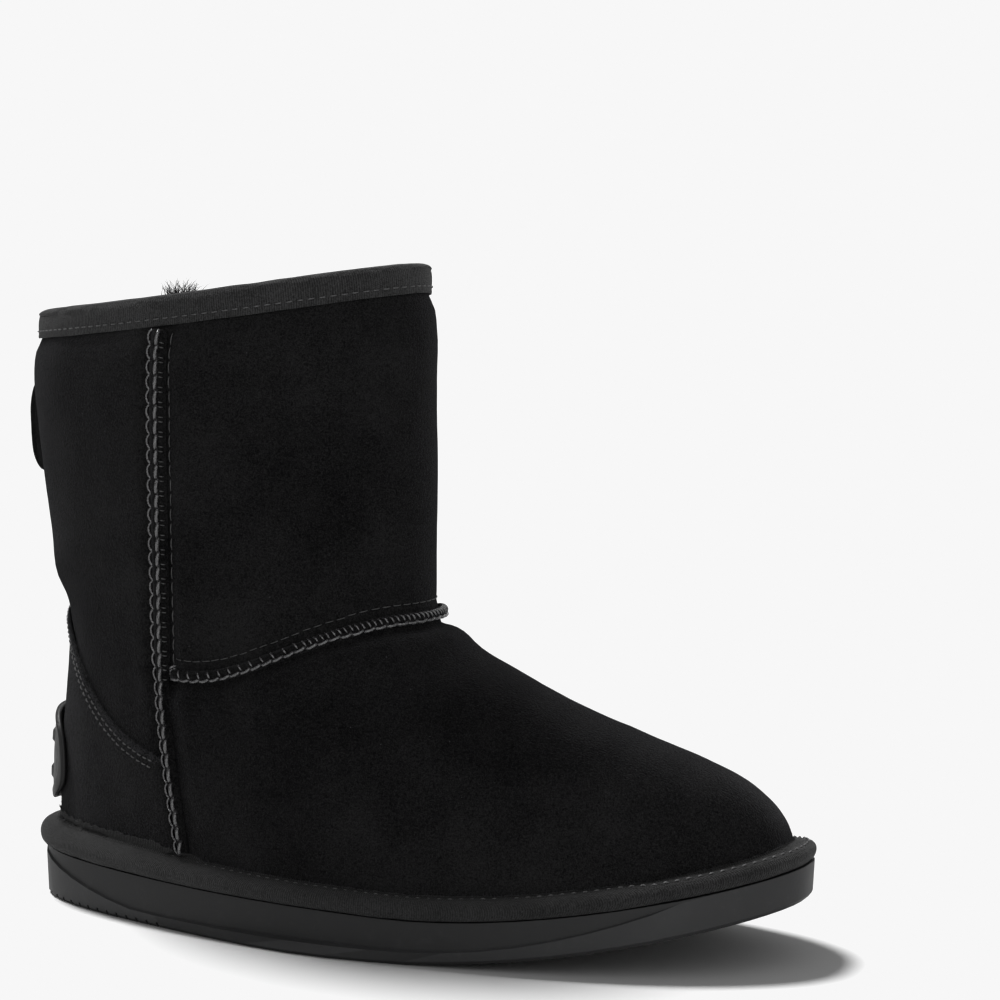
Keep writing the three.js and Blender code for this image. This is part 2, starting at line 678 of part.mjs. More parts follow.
// Heel badge: a plain raised patch on the counter.
function heelBadge() {
  const floor = GAP + COUNTER_THICKNESS + LAID_GAP;
  const round = turns(FINENESS.badge);
  const centreRow = rowAtHeight(0, BADGE.z);
  const across = upperFrame(centreRow, 0).round;
  const place = (turn, share) => {
    const reach = (v) => Math.sign(v) * Math.abs(v) ** (2 / BADGE.squareness) * share;
    const z = BADGE.z + BADGE.halfHeight * reach(Math.sin(turn));
    const row = rowAtHeight(0, z);
    const arc = (BADGE.halfWidth * reach(Math.cos(turn))) / across.length();
    return { row, turn: arc };
  };
  const ring = (share, lift) => round.map((turn) => {
    const p = place(turn, share);
    return offUpper(p.row, p.turn, lift);
  });
  const topLift = floor + BADGE.thickness;
  return ringSolid([
    ...BADGE.rings.map((share) => ring(share, floor)),
    ring(1, floor),
    ring(1, topLift - BADGE.edge),
    ring(BADGE.bevel, topLift),
    ...BADGE.rings.toReversed().map((share) => ring(share, topLift)),
  ]);
}

// Pull loop: a strap sewn to the back of the shaft at both ends, standing off in between.
function pullLoop() {
  const heights = steps(FINENESS.loop, LOOP.topZ, LOOP.bottomZ);
  const face = (depth) =>
    heights.map((z, i) => {
      const share = i / (heights.length - 1);
      const slack = (1 - Math.abs(2 * share - 1) ** 4) * lerp(LOOP.topSlack, LOOP.bottomSlack, share);
      const p = offUpper(rowAtHeight(0, z), 0, LAID_GAP + slack + depth);
      return [-0.5, 0.5].map((side) => new THREE.Vector3(p.x, p.y + side * LOOP.width, p.z));
    });
  return plateSolid(face(LOOP.strap), face(0));
}

// ---- Materials and scene graph ---------------------------------------------------------

const material = (color, roughness) => new THREE.MeshStandardMaterial({ color, roughness, metalness: 0 });
const SUEDE = material(0x141414, 0.95);
const TAPE_CLOTH = material(0x2b2b2c, 0.85);
const FOAM = material(0x2c2d2e, 0.7);
const THREAD = material(0x1b1b1c, 0.45);
const WOOL = material(0x1d1c1c, 1);
const BADGE_RUBBER = material(0x191a1b, 0.55);

function mesh(name, geometry, finish) {
  const made = new THREE.Mesh(geometry, finish);
  made.name = name;
  return made;
}

const boot = new THREE.Group();
boot.add(
  mesh("outsole", outsole(), FOAM),
  mesh("rand_binding", rand(), TAPE_CLOTH),
  mesh("insole", insole(), WOOL),
  mesh("upper", upper(), SUEDE),
  mesh("collar_binding", collarTape(), TAPE_CLOTH),
  mesh("heel_counter", heelCounter(), SUEDE),
  mesh("lateral_side_seam", sideSeam(1), THREAD),
  mesh("medial_side_seam", sideSeam(-1), THREAD),
  mesh("vamp_seam", vampSeam(), THREAD),
  mesh("heel_badge", heelBadge(), BADGE_RUBBER),
  mesh("pull_loop", pullLoop(), SUEDE),
);

// The origin goes to the middle of the footprint.
const box = new THREE.Box3().setFromObject(boot);
boot.position.set(-(box.min.x + box.max.x) / 2, -(box.min.y + box.max.y) / 2, 0);

export default boot;
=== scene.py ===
"""Sheepskin ankle boot, right foot: suede, wool, tape, thread and foam round the fixed frame."""

import math
from collections import namedtuple

import bmesh
import bpy
import numpy as np
from bpy.props import FloatProperty, FloatVectorProperty, IntProperty, PointerProperty
from mathutils import Matrix, Vector, noise
from mathutils.bvhtree import BVHTree
from mathutils.kdtree import KDTree


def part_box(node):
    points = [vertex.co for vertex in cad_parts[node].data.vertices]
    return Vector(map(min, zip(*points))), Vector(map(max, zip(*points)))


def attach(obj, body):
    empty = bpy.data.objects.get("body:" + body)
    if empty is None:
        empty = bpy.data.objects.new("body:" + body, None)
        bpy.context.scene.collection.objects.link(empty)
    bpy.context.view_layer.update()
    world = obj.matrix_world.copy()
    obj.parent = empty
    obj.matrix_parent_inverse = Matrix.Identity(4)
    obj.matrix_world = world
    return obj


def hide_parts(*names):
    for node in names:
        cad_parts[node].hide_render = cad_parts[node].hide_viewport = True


bl_info = {
    "name": "Sheepskin ankle boot",
    "version": (1, 0, 0),
    "blender": (4, 5, 0),
    "location": "3D View > Sidebar > Boot",
    "description": "Dresses the boot's frame in suede, wool, tape, thread and foam",
    "category": "Object",
}

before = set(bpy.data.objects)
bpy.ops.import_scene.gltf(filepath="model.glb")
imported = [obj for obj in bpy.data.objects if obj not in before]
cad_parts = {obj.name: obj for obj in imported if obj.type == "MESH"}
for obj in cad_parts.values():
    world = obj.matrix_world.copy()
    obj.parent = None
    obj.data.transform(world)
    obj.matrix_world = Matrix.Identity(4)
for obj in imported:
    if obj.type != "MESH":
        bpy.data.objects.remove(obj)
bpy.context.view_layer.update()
MM = 0.001
SHAFT_AXIS = Vector((-0.060, 0.0, 0.0))  # an upright line inside the shaft
BOOT_MIDDLE = Vector((-0.005, 0.0, 0.0))  # an upright line inside the sole's outline
SEED = 7
PROBE = 6 * MM  # how far off the skin a stitch looks down for its place
SIDE_STEPS = 70  # points that a side seam's line is read at
VAMP_STEPS = 90  # and those of the vamp seam and of the counter's edge
COLLAR_STEPS = 120
RAND_STEPS = 160
TAPE_LEG = 2.2 * MM  # how thick the collar tape's outer leg is at most, in a section
COUNTER_CORNER = 0.37  # height of the counter's front corners, as a share of its own
SEAM_REACH = 26 * MM  # how far from a seam its pinch is felt
SEAM_SLIM_Z = 78  # millimetres up to where a side seam is slim beside the vamp
SEAM_FULL_Z = 92  # and from where it has its full width on the shaft
COUNTER_FIBRES = 2600  # loose fibres along the counter's cut edge
LIP_COLUMNS = 560  # mesh columns round the rand's lip
LIP_ROWS = 6
ROOM_BAND = (0.3, 0.6)  # how far up the room its light turns from horizon to overhead
CAMERA_PIVOT = Vector((-0.0245, 0.0008, 0))  # the place on the floor that the camera turns about
SUNS = (  # name, the way it shines, how wide it spreads in degrees, whether it lights the floor
    ("key", (0.44, -0.15, -1.0), 14, True),
    ("fill", (-0.62, 1.0, -0.5), 70, False),
    ("back", (0.1, -1.0, -0.6), 70, False),
)


# ---- Sizes and colours ---------------------------------------------------------------------


class UpperSettings(bpy.types.PropertyGroup):
    """The suede skin of shaft, vamp and counter."""

    levels: IntProperty(name="Smoothing levels", description="Subdivision of the skin", default=2)
    suede: FloatVectorProperty(
        name="Suede", description="Colour of the nap lying flat",
        subtype="COLOR", default=(0.0022, 0.0022, 0.0023),
    )
    raised_nap: FloatVectorProperty(
        name="Raised nap", description="Colour where the nap stands",
        subtype="COLOR", default=(0.0142, 0.0141, 0.0143),
    )
    seam_trough: FloatProperty(
        name="Seam trough", description="Depth of the pinch beside a seam", default=1.1 * MM, unit="LENGTH"
    )
    vamp_puff: FloatProperty(
        name="Vamp puff", description="How far the vamp swells below its seam",
        default=1.5 * MM, unit="LENGTH",
    )
    collar_pinch: FloatProperty(
        name="Collar pinch", description="How far the tape draws the wall in", default=2.0 * MM, unit="LENGTH"
    )
    collar_puff: FloatProperty(
        name="Collar puff", description="How far the shaft swells below the tape",
        default=0.5 * MM, unit="LENGTH",
    )
    unevenness: FloatProperty(
        name="Unevenness", description="Soft waviness of the skin", default=0.22 * MM, unit="LENGTH"
    )


class WoolSettings(bpy.types.PropertyGroup):
    """The wool pile inside the shaft and the tuft above the collar."""

    colour: FloatVectorProperty(
        name="Wool", description="Colour of the pile", subtype="COLOR", default=(0.009, 0.0085, 0.0085)
    )
    locks: IntProperty(name="Locks", description="Curled locks on the lining", default=4200)
    lock_length: FloatProperty(
        name="Lock length", description="Length of a lock", default=5.5 * MM, unit="LENGTH"
    )
    tuft_hairs: IntProperty(name="Tuft hairs", description="Hairs that stand above the collar", default=130)


class ThreadSettings(bpy.types.PropertyGroup):
    """The waxed seam thread and the fine sewing thread."""

    colour: FloatVectorProperty(
        name="Thread", description="Colour of the waxed thread",
        subtype="COLOR", default=(0.028, 0.028, 0.029),
    )
    heavy: FloatProperty(
        name="Heavy thread", description="Seam thread diameter", default=1.15 * MM, unit="LENGTH"
    )
    fine: FloatProperty(
        name="Fine thread", description="Sewing thread diameter", default=0.45 * MM, unit="LENGTH"
    )
    seam_pitch: FloatProperty(
        name="Side seam pitch", description="Length of one side seam stitch", default=4.7 * MM, unit="LENGTH"
    )
    vamp_pitch: FloatProperty(
        name="Vamp seam pitch", description="Length of one vamp seam stitch", default=3.8 * MM, unit="LENGTH"
    )
    tape_pitch: FloatProperty(
        name="Tape stitch pitch", description="Length of one tape stitch", default=3.6 * MM, unit="LENGTH"
    )


class TapeSettings(bpy.types.PropertyGroup):
    """The ribbed tape of collar, rand and pull loop."""

    levels: IntProperty(name="Smoothing levels", description="Subdivision of the tape", default=2)
    collar: FloatVectorProperty(
        name="Collar tape", description="Colour of the collar tape",
        subtype="COLOR", default=(0.0135, 0.0135, 0.0138),
    )
    rand: FloatVectorProperty(
        name="Rand tape", description="Colour of the rand tape",
        subtype="COLOR", default=(0.0098, 0.0098, 0.01),
    )
    rib: FloatProperty(name="Rib pitch", description="Distance between ribs", default=0.8 * MM, unit="LENGTH")


class SoleSettings(bpy.types.PropertyGroup):
    """The foam outsole and the rubber badge."""

    foam: FloatVectorProperty(
        name="Foam", description="Colour of the outsole", subtype="COLOR", default=(0.0215, 0.0217, 0.0223)
    )
    badge: FloatVectorProperty(
        name="Badge", description="Colour of the heel badge",
        subtype="COLOR", default=(0.0042, 0.0042, 0.0044),
    )
    sharp_angle: FloatProperty(
        name="Sharp angle", description="Edges steeper than this stay crisp",
        default=math.radians(32), subtype="ANGLE",
    )


class StageSettings(bpy.types.PropertyGroup):
    """Camera, floor and lights."""

    azimuth: FloatProperty(
        name="Azimuth", description="Camera turn", default=math.radians(29.4), subtype="ANGLE"
    )
    distance: FloatProperty(name="Distance", description="Camera to boot", default=0.9, unit="LENGTH")
    height: FloatProperty(name="Height", description="Camera above the floor", default=0.2208, unit="LENGTH")
    aim_side: FloatProperty(
        name="Aim side", description="Aim right of the boot", default=0.0558, unit="LENGTH"
    )
    aim_height: FloatProperty(
        name="Aim height", description="Aim above the floor", default=0.1386, unit="LENGTH"
    )
    lens: FloatProperty(name="Lens", description="Focal length in millimetres", default=98.1)
    backdrop: FloatProperty(name="Backdrop", description="Brightness that the camera sees", default=1.02)
    horizon: FloatProperty(name="Horizon", description="Light of the room all round", default=0.3)
    overhead: FloatProperty(name="Overhead", description="Light of the room above", default=0.25)
    white: FloatProperty(name="White", description="Brightness that white is held at", default=0.93)
    floor: FloatVectorProperty(
        name="Floor", description="Colour of the floor", subtype="COLOR", default=(0.86,) * 3
    )
    key: FloatProperty(name="Key", description="Light from above behind the heel", default=3.8)
    fill: FloatProperty(name="Fill", description="Light from the toe's outer side", default=1.9)
    back: FloatProperty(name="Back", description="Light from the inner side", default=1.0)


# ---- Shader graphs -------------------------------------------------------------------------


class Wire:
    """A shader socket that takes part in Python arithmetic."""

    def __init__(self, graph, socket):
        self.graph = graph
        self.socket = socket

    def _with(self, operation, first, second):
        return self.graph.add("ShaderNodeMath", {"operation": operation}, {0: first, 1: second})

    def __add__(self, other):
        return self._with("ADD", self, other)

    def __radd__(self, other):
        return self._with("ADD", other, self)

    def __sub__(self, other):
        return self._with("SUBTRACT", self, other)

    def __rsub__(self, other):
        return self._with("SUBTRACT", other, self)

    def __mul__(self, other):
        return self._with("MULTIPLY", self, other)

    def __rmul__(self, other):
        return self._with("MULTIPLY", other, self)

    def __lt__(self, other):
        return self._with("LESS_THAN", self, other)

    def __gt__(self, other):
        return self._with("GREATER_THAN", self, other)

    def sine(self):
        return self.graph.add("ShaderNodeMath", {"operation": "SINE"}, {0: self})

    def clamped(self):
        return self.graph.add("ShaderNodeClamp", None, {0: self})


class Graph:
    """One material's nodes, with a principled shader at the end."""

    def __init__(self, name, **constants):
        self.material = bpy.data.materials.new(name)
        self.material.use_nodes = True
        self.nodes = self.material.node_tree.nodes
        self.links = self.material.node_tree.links
        self.nodes.clear()
        self.shader = self.nodes.new("ShaderNodeBsdfPrincipled")
        output = self.nodes.new("ShaderNodeOutputMaterial")
        self.links.new(self.shader.outputs[0], output.inputs[0])
        for socket, value in constants.items():
            self.shader.inputs[socket.replace("_", " ")].default_value = value

    def add(self, kind, settings=None, sockets=None, result=0):
        node = self.nodes.new(kind)
        for key, value in (settings or {}).items():
            if key == "stops":
                for stop, (place, grey) in zip(node.color_ramp.elements, value):
                    stop.position = place
                    stop.color = (grey, grey, grey, 1)
            else:
                setattr(node, key, value)
        for key, value in (sockets or {}).items():
            if isinstance(value, Wire):
                self.links.new(value.socket, node.inputs[key])
            else:
                node.inputs[key].default_value = value
        return Wire(self, node.outputs[result])

    def place(self):
        return self.add("ShaderNodeTexCoord", result="Object")

    def noise(self, scale, detail=2.0, place=None, roughness=0.5):
        sockets = {"Vector": place or self.place(), "Scale": scale, "Detail": detail, "Roughness": roughness}
        return self.add("ShaderNodeTexNoise", None, sockets)

    def mix(self, share, first, second):
        sockets = {"Factor": share, 6: colour(first), 7: colour(second)}
        return self.add("ShaderNodeMix", {"data_type": "RGBA"}, sockets, 2)

    def bump(self, height, distance, strength=1.0):
        sockets = {"Height": height, "Distance": distance, "Strength": strength}
        return self.add("ShaderNodeBump", None, sockets)

    def feed(self, **sockets):
        for socket, wire in sockets.items():
            self.links.new(wire.socket, self.shader.inputs[socket.replace("_", " ")])
        return self.material


def colour(value):
    """A colour as four numbers, or a wire as it is."""
    return value if isinstance(value, Wire) else (*value[:3], 1.0)


def scaled(value, factor):
    """A colour made lighter or darker."""
    return tuple(c * factor for c in value)


def spread(wire, gain):
    """Noise about 0.5, made stronger."""
    return (wire - 0.5) * gain + 0.5


def suede_material(name, lift=1.0):
    """Brushed suede: cloudy nap, clumped fibres, a faint sheen and a few specks of lint."""
    settings = bpy.context.scene.boot_upper
    g = Graph(name, Roughness=1.0, Specular_IOR_Level=0.0, Sheen_Weight=0.06, Sheen_Roughness=0.35)
    g.shader.inputs["Sheen Tint"].default_value = (0.8, 0.8, 0.84, 1)
    cloud = g.noise(19, 5, roughness=0.62)
    clump = g.noise(1250, 3, roughness=0.65)
    fibre = g.noise(3100, 1, roughness=0.6)
    nap = (cloud - 0.5) * 1.7 + (clump - 0.5) * 1.5 + (fibre - 0.5) * 2.6 + 0.42
    flat = scaled(settings.suede, lift)
    skin = g.mix(nap.clamped(), flat, scaled(settings.raised_nap, lift))
    speck = g.add("ShaderNodeTexVoronoi", None, {"Vector": g.place(), "Scale": 150.0})
    lint = (speck < 0.03) * (g.noise(60, 0) > 0.5)
    skin = g.mix(lint * 0.7, skin, (0.05, 0.05, 0.053))
    normal = g.bump(spread(fibre, 0.6) + clump * 1.4, 0.5 * MM, 0.9)
    return g.feed(Base_Color=skin, Normal=normal)


def wool_material():
    """Dense curly wool."""
    settings = bpy.context.scene.boot_wool
    g = Graph("wool", Roughness=0.9, Specular_IOR_Level=0.08, Sheen_Weight=0.08, Sheen_Roughness=0.5)
    curl = g.noise(420, 3, roughness=0.7)
    tone = g.mix(curl, scaled(settings.colour, 0.45), scaled(settings.colour, 1.9))
    return g.feed(Base_Color=tone, Normal=g.bump(curl, 1.2 * MM, 0.9))


def tape_material(name, tone):
    """Ribbed tape. Its ribs follow the wrap map, in metres along and across the tape."""
    rib = bpy.context.scene.boot_tape.rib
    g = Graph(name, Roughness=0.8, Specular_IOR_Level=0.2, Sheen_Weight=0.04, Sheen_Roughness=0.5)
    wrap = g.add("ShaderNodeUVMap", {"uv_map": "wrap"})
    along = g.add("ShaderNodeSeparateXYZ", None, {0: wrap})
    across = g.add("ShaderNodeSeparateXYZ", None, {0: wrap}, 1)
    wobble = g.noise(240, 2) * 1.6
    warp = (along * (math.tau / rib) + wobble).sine()
    weft = (across * (math.tau / (rib * 0.85)) + wobble).sine()
    slub = g.noise(1500, 2, roughness=0.6)
    weave = warp * 0.45 + weft * 0.15 + spread(slub, 3.6) * 0.9
    wear = g.noise(95, 3)
    share = (weave * 0.75 + (wear - 0.5) * 0.9 + 0.12).clamped()
    cloth = g.mix(share, scaled(tone, 0.25), scaled(tone, 2.0))
    return g.feed(Base_Color=cloth, Normal=g.bump(weave, 0.26 * MM, 0.9))


def thread_material(name, lift=1.0, roughness=0.25):
    """Waxed thread: glossy, with its plies as a fine ripple."""
    tone = bpy.context.scene.boot_thread.colour
    g = Graph(name, Roughness=roughness, Specular_IOR_Level=0.9)
    ply = spread(g.noise(1500, 2), 2.2)
    shade = g.mix(ply.clamped(), scaled(tone, 0.25 * lift), scaled(tone, 1.6 * lift))
    return g.feed(Base_Color=shade, Normal=g.bump(ply, 0.2 * MM, 0.8))


def foam_material(name, lift):
    """Moulded foam: satin, faintly mottled, with paler scuffs."""
    tone = scaled(bpy.context.scene.boot_sole.foam, lift)
    g = Graph(name, Specular_IOR_Level=0.2)
    cell = g.noise(900, 2)
    mottle = g.noise(45, 4, roughness=0.6)
    blotch = g.noise(140, 5, roughness=0.75)
    scuff = g.add("ShaderNodeValToRGB", {"stops": ((0.56, 0.0), (0.78, 1.0))}, {0: blotch})
    skin = g.mix(mottle, scaled(tone, 0.7), scaled(tone, 1.25))
    skin = g.mix(scuff * 0.4, skin, scaled(tone, 2.2))
    roughness = mottle * 0.15 + 0.5
    return g.feed(Base_Color=skin, Roughness=roughness, Normal=g.bump(cell, 0.08 * MM, 0.6))


def rubber_material():
    """Soft moulded rubber."""
    tone = bpy.context.scene.boot_sole.badge
    g = Graph("badge_rubber", Specular_IOR_Level=0.22)
    grain = g.noise(700, 2)
    return g.feed(
        Base_Color=g.mix(grain, scaled(tone, 0.8), scaled(tone, 1.3)),
        Roughness=grain * 0.2 + 0.4,
        Normal=g.bump(grain, 0.05 * MM, 0.5),
    )


def floor_material(tone):
    """Matt pale floor."""
    g = Graph("floor", Roughness=1.0, Specular_IOR_Level=0.0)
    return g.feed(Base_Color=g.mix(g.noise(3, 1), scaled(tone, 0.998), scaled(tone, 1.002)))


# ---- Mesh helpers --------------------------------------------------------------------------


def merged_copy(node, quads=True):
    """A copy of one of the frame's solids, its loose triangles joined up, as quads where they pair."""
    bm = bmesh.new()
    bm.from_mesh(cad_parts[node].data)
    bmesh.ops.remove_doubles(bm, verts=bm.verts, dist=0.005 * MM)
    if quads:
        bmesh.ops.join_triangles(
            bm,
            faces=bm.faces,
            angle_face_threshold=math.radians(50),
            angle_shape_threshold=math.radians(60),
        )
    return bm


def subdivided(bm, levels):
    """The smooth form of a coarse bmesh, as a new bmesh."""
    mesh = bpy.data.meshes.new("coarse")
    bm.to_mesh(mesh)
    bm.free()
    piece = bpy.data.objects.new("coarse", mesh)
    bpy.context.scene.collection.objects.link(piece)
    modifier = piece.modifiers.new("smooth", "SUBSURF")
    modifier.levels = modifier.render_levels = levels
    smooth = bpy.data.meshes.new_from_object(piece.evaluated_get(bpy.context.evaluated_depsgraph_get()))
    bpy.data.objects.remove(piece)
    bpy.data.meshes.remove(mesh)
    fine = bmesh.new()
    fine.from_mesh(smooth)
    bpy.data.meshes.remove(smooth)
    return fine


def make_piece(name, bm, materials, stands_for=(), sharp=None):
    """Puts a bmesh into the scene as a finished piece that rides on the boot."""
    for face in bm.faces:
        face.smooth = True
    if sharp is not None:
        for edge in bm.edges:
            edge.smooth = edge.calc_face_angle(0) < sharp
    mesh = bpy.data.meshes.new(name)
    bm.to_mesh(mesh)
    bm.free()
    for material in materials:
        mesh.materials.append(material)
    piece = bpy.data.objects.new(name, mesh)
    bpy.context.scene.collection.objects.link(piece)
    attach(piece, "root")
    if stands_for:
        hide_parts(*stands_for)
    return piece


def scattered(base, matrices):
    """One bmesh that holds a copy of a small shape for each matrix."""
    base.verts.ensure_lookup_table()
    points = np.array([v.co for v in base.verts])
    faces = [[v.index for v in f.verts] for f in base.faces]
    base.free()
    turns = np.array([m.to_3x3() for m in matrices])
    shifts = np.array([m.translation for m in matrices])
    moved = np.einsum("kij,pj->kpi", turns, points) + shifts[:, None, :]
    every = [[i + k * len(points) for i in f] for k in range(len(matrices)) for f in faces]
    mesh = bpy.data.meshes.new("scattered")
    mesh.from_pydata(moved.reshape(-1, 3).tolist(), [], every)
    bm = bmesh.new()
    bm.from_mesh(mesh)
    bpy.data.meshes.remove(mesh)
    return bm


def joined(*parts):
    """Several bmeshes as one."""
    whole = parts[0]
    for part in parts[1:]:
        mesh = bpy.data.meshes.new("part")
        part.to_mesh(mesh)
        part.free()
        whole.from_mesh(mesh)
        bpy.data.meshes.remove(mesh)
    return whole


def thread_arc(length, height, thickness, sides=6, steps=5):
    """A stitch: thread that rises out of the work, arches over along X and goes back in."""
    radius = (height**2 + (length / 2) ** 2) / (2 * height)
    half = math.asin(min(1.0, length / 2 / radius))
    centre = Vector((0, 0, height - radius))
    bm = bmesh.new()
    bmesh.ops.create_circle(bm, segments=sides, radius=thickness / 2)
    start = Matrix.Translation(centre) @ Matrix.Rotation(-half, 4, "Y") @ Matrix.Translation((0, 0, radius))
    bmesh.ops.transform(bm, matrix=start @ Matrix.Rotation(math.pi / 2, 4, "Y"), verts=bm.verts)
    bmesh.ops.spin(
        bm, geom=bm.verts[:] + bm.edges[:], cent=centre, axis=(0, 1, 0), angle=2 * half, steps=steps
    )
    bmesh.ops.holes_fill(bm, edges=[e for e in bm.edges if e.is_boundary])
    bmesh.ops.recalc_face_normals(bm, faces=bm.faces)
    return bm


def hair(length, thickness, curl, sides=3, steps=4):
    """A tapering strand along Z that curls over towards X."""
    bm = bmesh.new()
    bmesh.ops.create_circle(bm, segments=sides, radius=thickness / 2)
    rim = bm.edges[:]
    turn = Matrix.Rotation(curl / steps, 3, "Y")
    heading = Matrix.Identity(3)
    tip = Vector((0, 0, 0))
    for step in range(steps):
        made = bmesh.ops.extrude_edge_only(bm, edges=rim)["geom"]
        ring = [v for v in made if isinstance(v, bmesh.types.BMVert)]
        rim = [e for e in made if isinstance(e, bmesh.types.BMEdge)]
        heading = heading @ turn
        stride = heading @ Vector((0, 0, length / steps))
        bmesh.ops.rotate(bm, verts=ring, cent=tip, matrix=turn)
        bmesh.ops.translate(bm, verts=ring, vec=stride)
        tip = tip + stride
        taper = 1 - 0.8 / (steps - step)
        bmesh.ops.scale(bm, verts=ring, vec=(taper,) * 3, space=Matrix.Translation(-tip))
    bmesh.ops.holes_fill(bm, edges=[e for e in bm.edges if e.is_boundary])
    bmesh.ops.recalc_face_normals(bm, faces=bm.faces)
    return bm


def turned(normal, along, place, scale=1.0):
    """Matrix that stands a shape on a surface: Z out along the normal, X along the work."""
    z = normal.normalized()
    x = (along - z * along.dot(z)).normalized()
    turn = Matrix((x, z.cross(x), z)).transposed() * scale
    return Matrix.Translation(place) @ turn.to_4x4()


# ---- Lines to sew along --------------------------------------------------------------------


class Trail:
    """A line on the boot. skin is what it lies on, and base tells which way is out."""

    def __init__(self, points, skin, base=None, closed=False):
        self.points = [Vector(p) for p in points]
        if closed:
            self.points.append(self.points[0].copy())
        self.skin = skin
        self.base = base or skin
        steps = [(b - a).length for a, b in zip(self.points, self.points[1:])]
        self.reach = [0.0, *np.cumsum(steps).tolist()]
        self.length = self.reach[-1]

    def at(self, distance):
        """The point at a distance along the line, and the way ahead there."""
        i = int(np.clip(np.searchsorted(self.reach, distance) - 1, 0, len(self.points) - 2))
        a, b = self.points[i], self.points[i + 1]
        share = (distance - self.reach[i]) / max(self.reach[i + 1] - self.reach[i], 1e-9)
        before = self.points[max(i - 1, 0)]
        after = self.points[min(i + 2, len(self.points) - 1)]
        return a.lerp(b, share), (after - before).normalized()

    def stand(self, distance, aside=0.0, lift=0.0, slant=0.0, skin=None, scale=1.0):
        """Matrix on the skin at a distance along the line and aside from it."""
        point, ahead = self.at(distance)
        skin = skin or self.skin
        aside = aside(point) if callable(aside) else aside
        _, outward, _, _ = self.base.find_nearest(point)
        beside = point + outward.cross(ahead).normalized() * aside
        place, normal, _, _ = skin.ray_cast(beside + outward * PROBE, -outward, 2 * PROBE)
        if place is None:
            place, normal, _, _ = skin.find_nearest(beside)
        along = Matrix.Rotation(slant, 3, normal) @ ahead
        return turned(normal, along, place + normal * lift, scale)

    def row(self, pitch, start=0.0, stop=None, **stand):
        """Matrices one pitch apart from start to stop."""
        stop = self.length if stop is None else stop
        count = max(1, int((stop - start) / pitch))
        step = (stop - start) / count
        return [self.stand(start + (k + 0.5) * step, **stand) for k in range(count)]


def skin_of(node):
    """Search tree of the surface of one of the frame's solids."""
    bm = merged_copy(node, quads=False)
    tree = BVHTree.FromBMesh(bm)
    bm.free()
    return tree


def drawn_skin(*pieces):
    """Search tree of the finished surfaces of some pieces."""
    points = []
    faces = []
    for piece in pieces:
        mesh = bpy.data.objects[piece].data
        shift = len(points)
        points += [v.co.copy() for v in mesh.vertices]
        faces += [[v + shift for v in face.vertices] for face in mesh.polygons]
    return BVHTree.FromPolygons(points, faces)


def section(node_bm, point, normal, side=None):
    """Points where a plane cuts a mesh, only those on one side if a side is given."""
    bm = node_bm.copy()
    geometry = bm.verts[:] + bm.edges[:] + bm.faces[:]
    cut = bmesh.ops.bisect_plane(bm, geom=geometry, plane_co=point, plane_no=normal)["geom_cut"]
    points = [v.co.copy() for v in cut if isinstance(v, bmesh.types.BMVert)]
    bm.free()
    return [p for p in points if side is None or (p - point).dot(side) > 0]


def nearest(trail, point):
    """The point of a line closest to a place, seen from above."""
    return min(trail.points, key=lambda p: (p.x - point.x) ** 2 + (p.y - point.y) ** 2)


def middle(points):
    """Mean of some points."""
    return sum(points, Vector()) / len(points)


def level_line(node, count):
    """Middle of a node's section at each of several heights, from the lowest up."""
    low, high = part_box(node)
    bm = merged_copy(node, quads=False)
    heights = np.linspace(low.z + 0.6 * MM, high.z - 0.6 * MM, count)
    points = [middle(section(bm, Vector((0, 0, z)), Vector((0, 0, 1)))) for z in heights]
    bm.free()
    return points


def round_line(node, centre, start, stop, count, pick):
    """One picked point of a node's section on each of several upright planes round a centre."""
    bm = merged_copy(node, quads=False)
    points = []
    for angle in np.linspace(start, stop, count):
        side = Vector((math.cos(angle), math.sin(angle), 0))
        found = section(bm, centre, Vector((-side.y, side.x, 0)), side)
        if found:
            points.append(pick(found, centre))
    bm.free()
    return points


def ring_line(node, centre, count, pick):
    """A round_line all the way round. Its last point stands one step before its first."""
    return round_line(node, centre, -math.pi, math.pi - math.tau / count, count, pick)


def span_round(node, centre, facing):
    """Angles about a centre that a node covers, counted from the way it faces."""
    angles = []
    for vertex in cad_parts[node].data.vertices:
        angle = math.atan2(vertex.co.y - centre.y, vertex.co.x - centre.x) - facing
        angles.append((angle + math.pi) % math.tau - math.pi)
    return facing + min(angles), facing + max(angles)


def outer_foot(points, centre):
    """Lowest point of the outermost leg of a section."""
    reach = [((p - centre).to_2d()).length for p in points]
    outer = [p for p, r in zip(points, reach) if r > max(reach) - TAPE_LEG]
    return min(outer, key=lambda p: p.z)


def top_point(points, _centre):
    return max(points, key=lambda p: p.z)


def middle_point(points, _centre):
    return middle(points)


def outermost(points, centre):
    return max(points, key=lambda p: (p - centre).to_2d().length)


def top_edge(points):
    """The part of the counter's outline above its front corners."""
    low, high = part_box("heel_counter")
    corner = low.z + COUNTER_CORNER * (high.z - low.z)
    return [p for p in points if p.z > corner]


TRAILS = {}


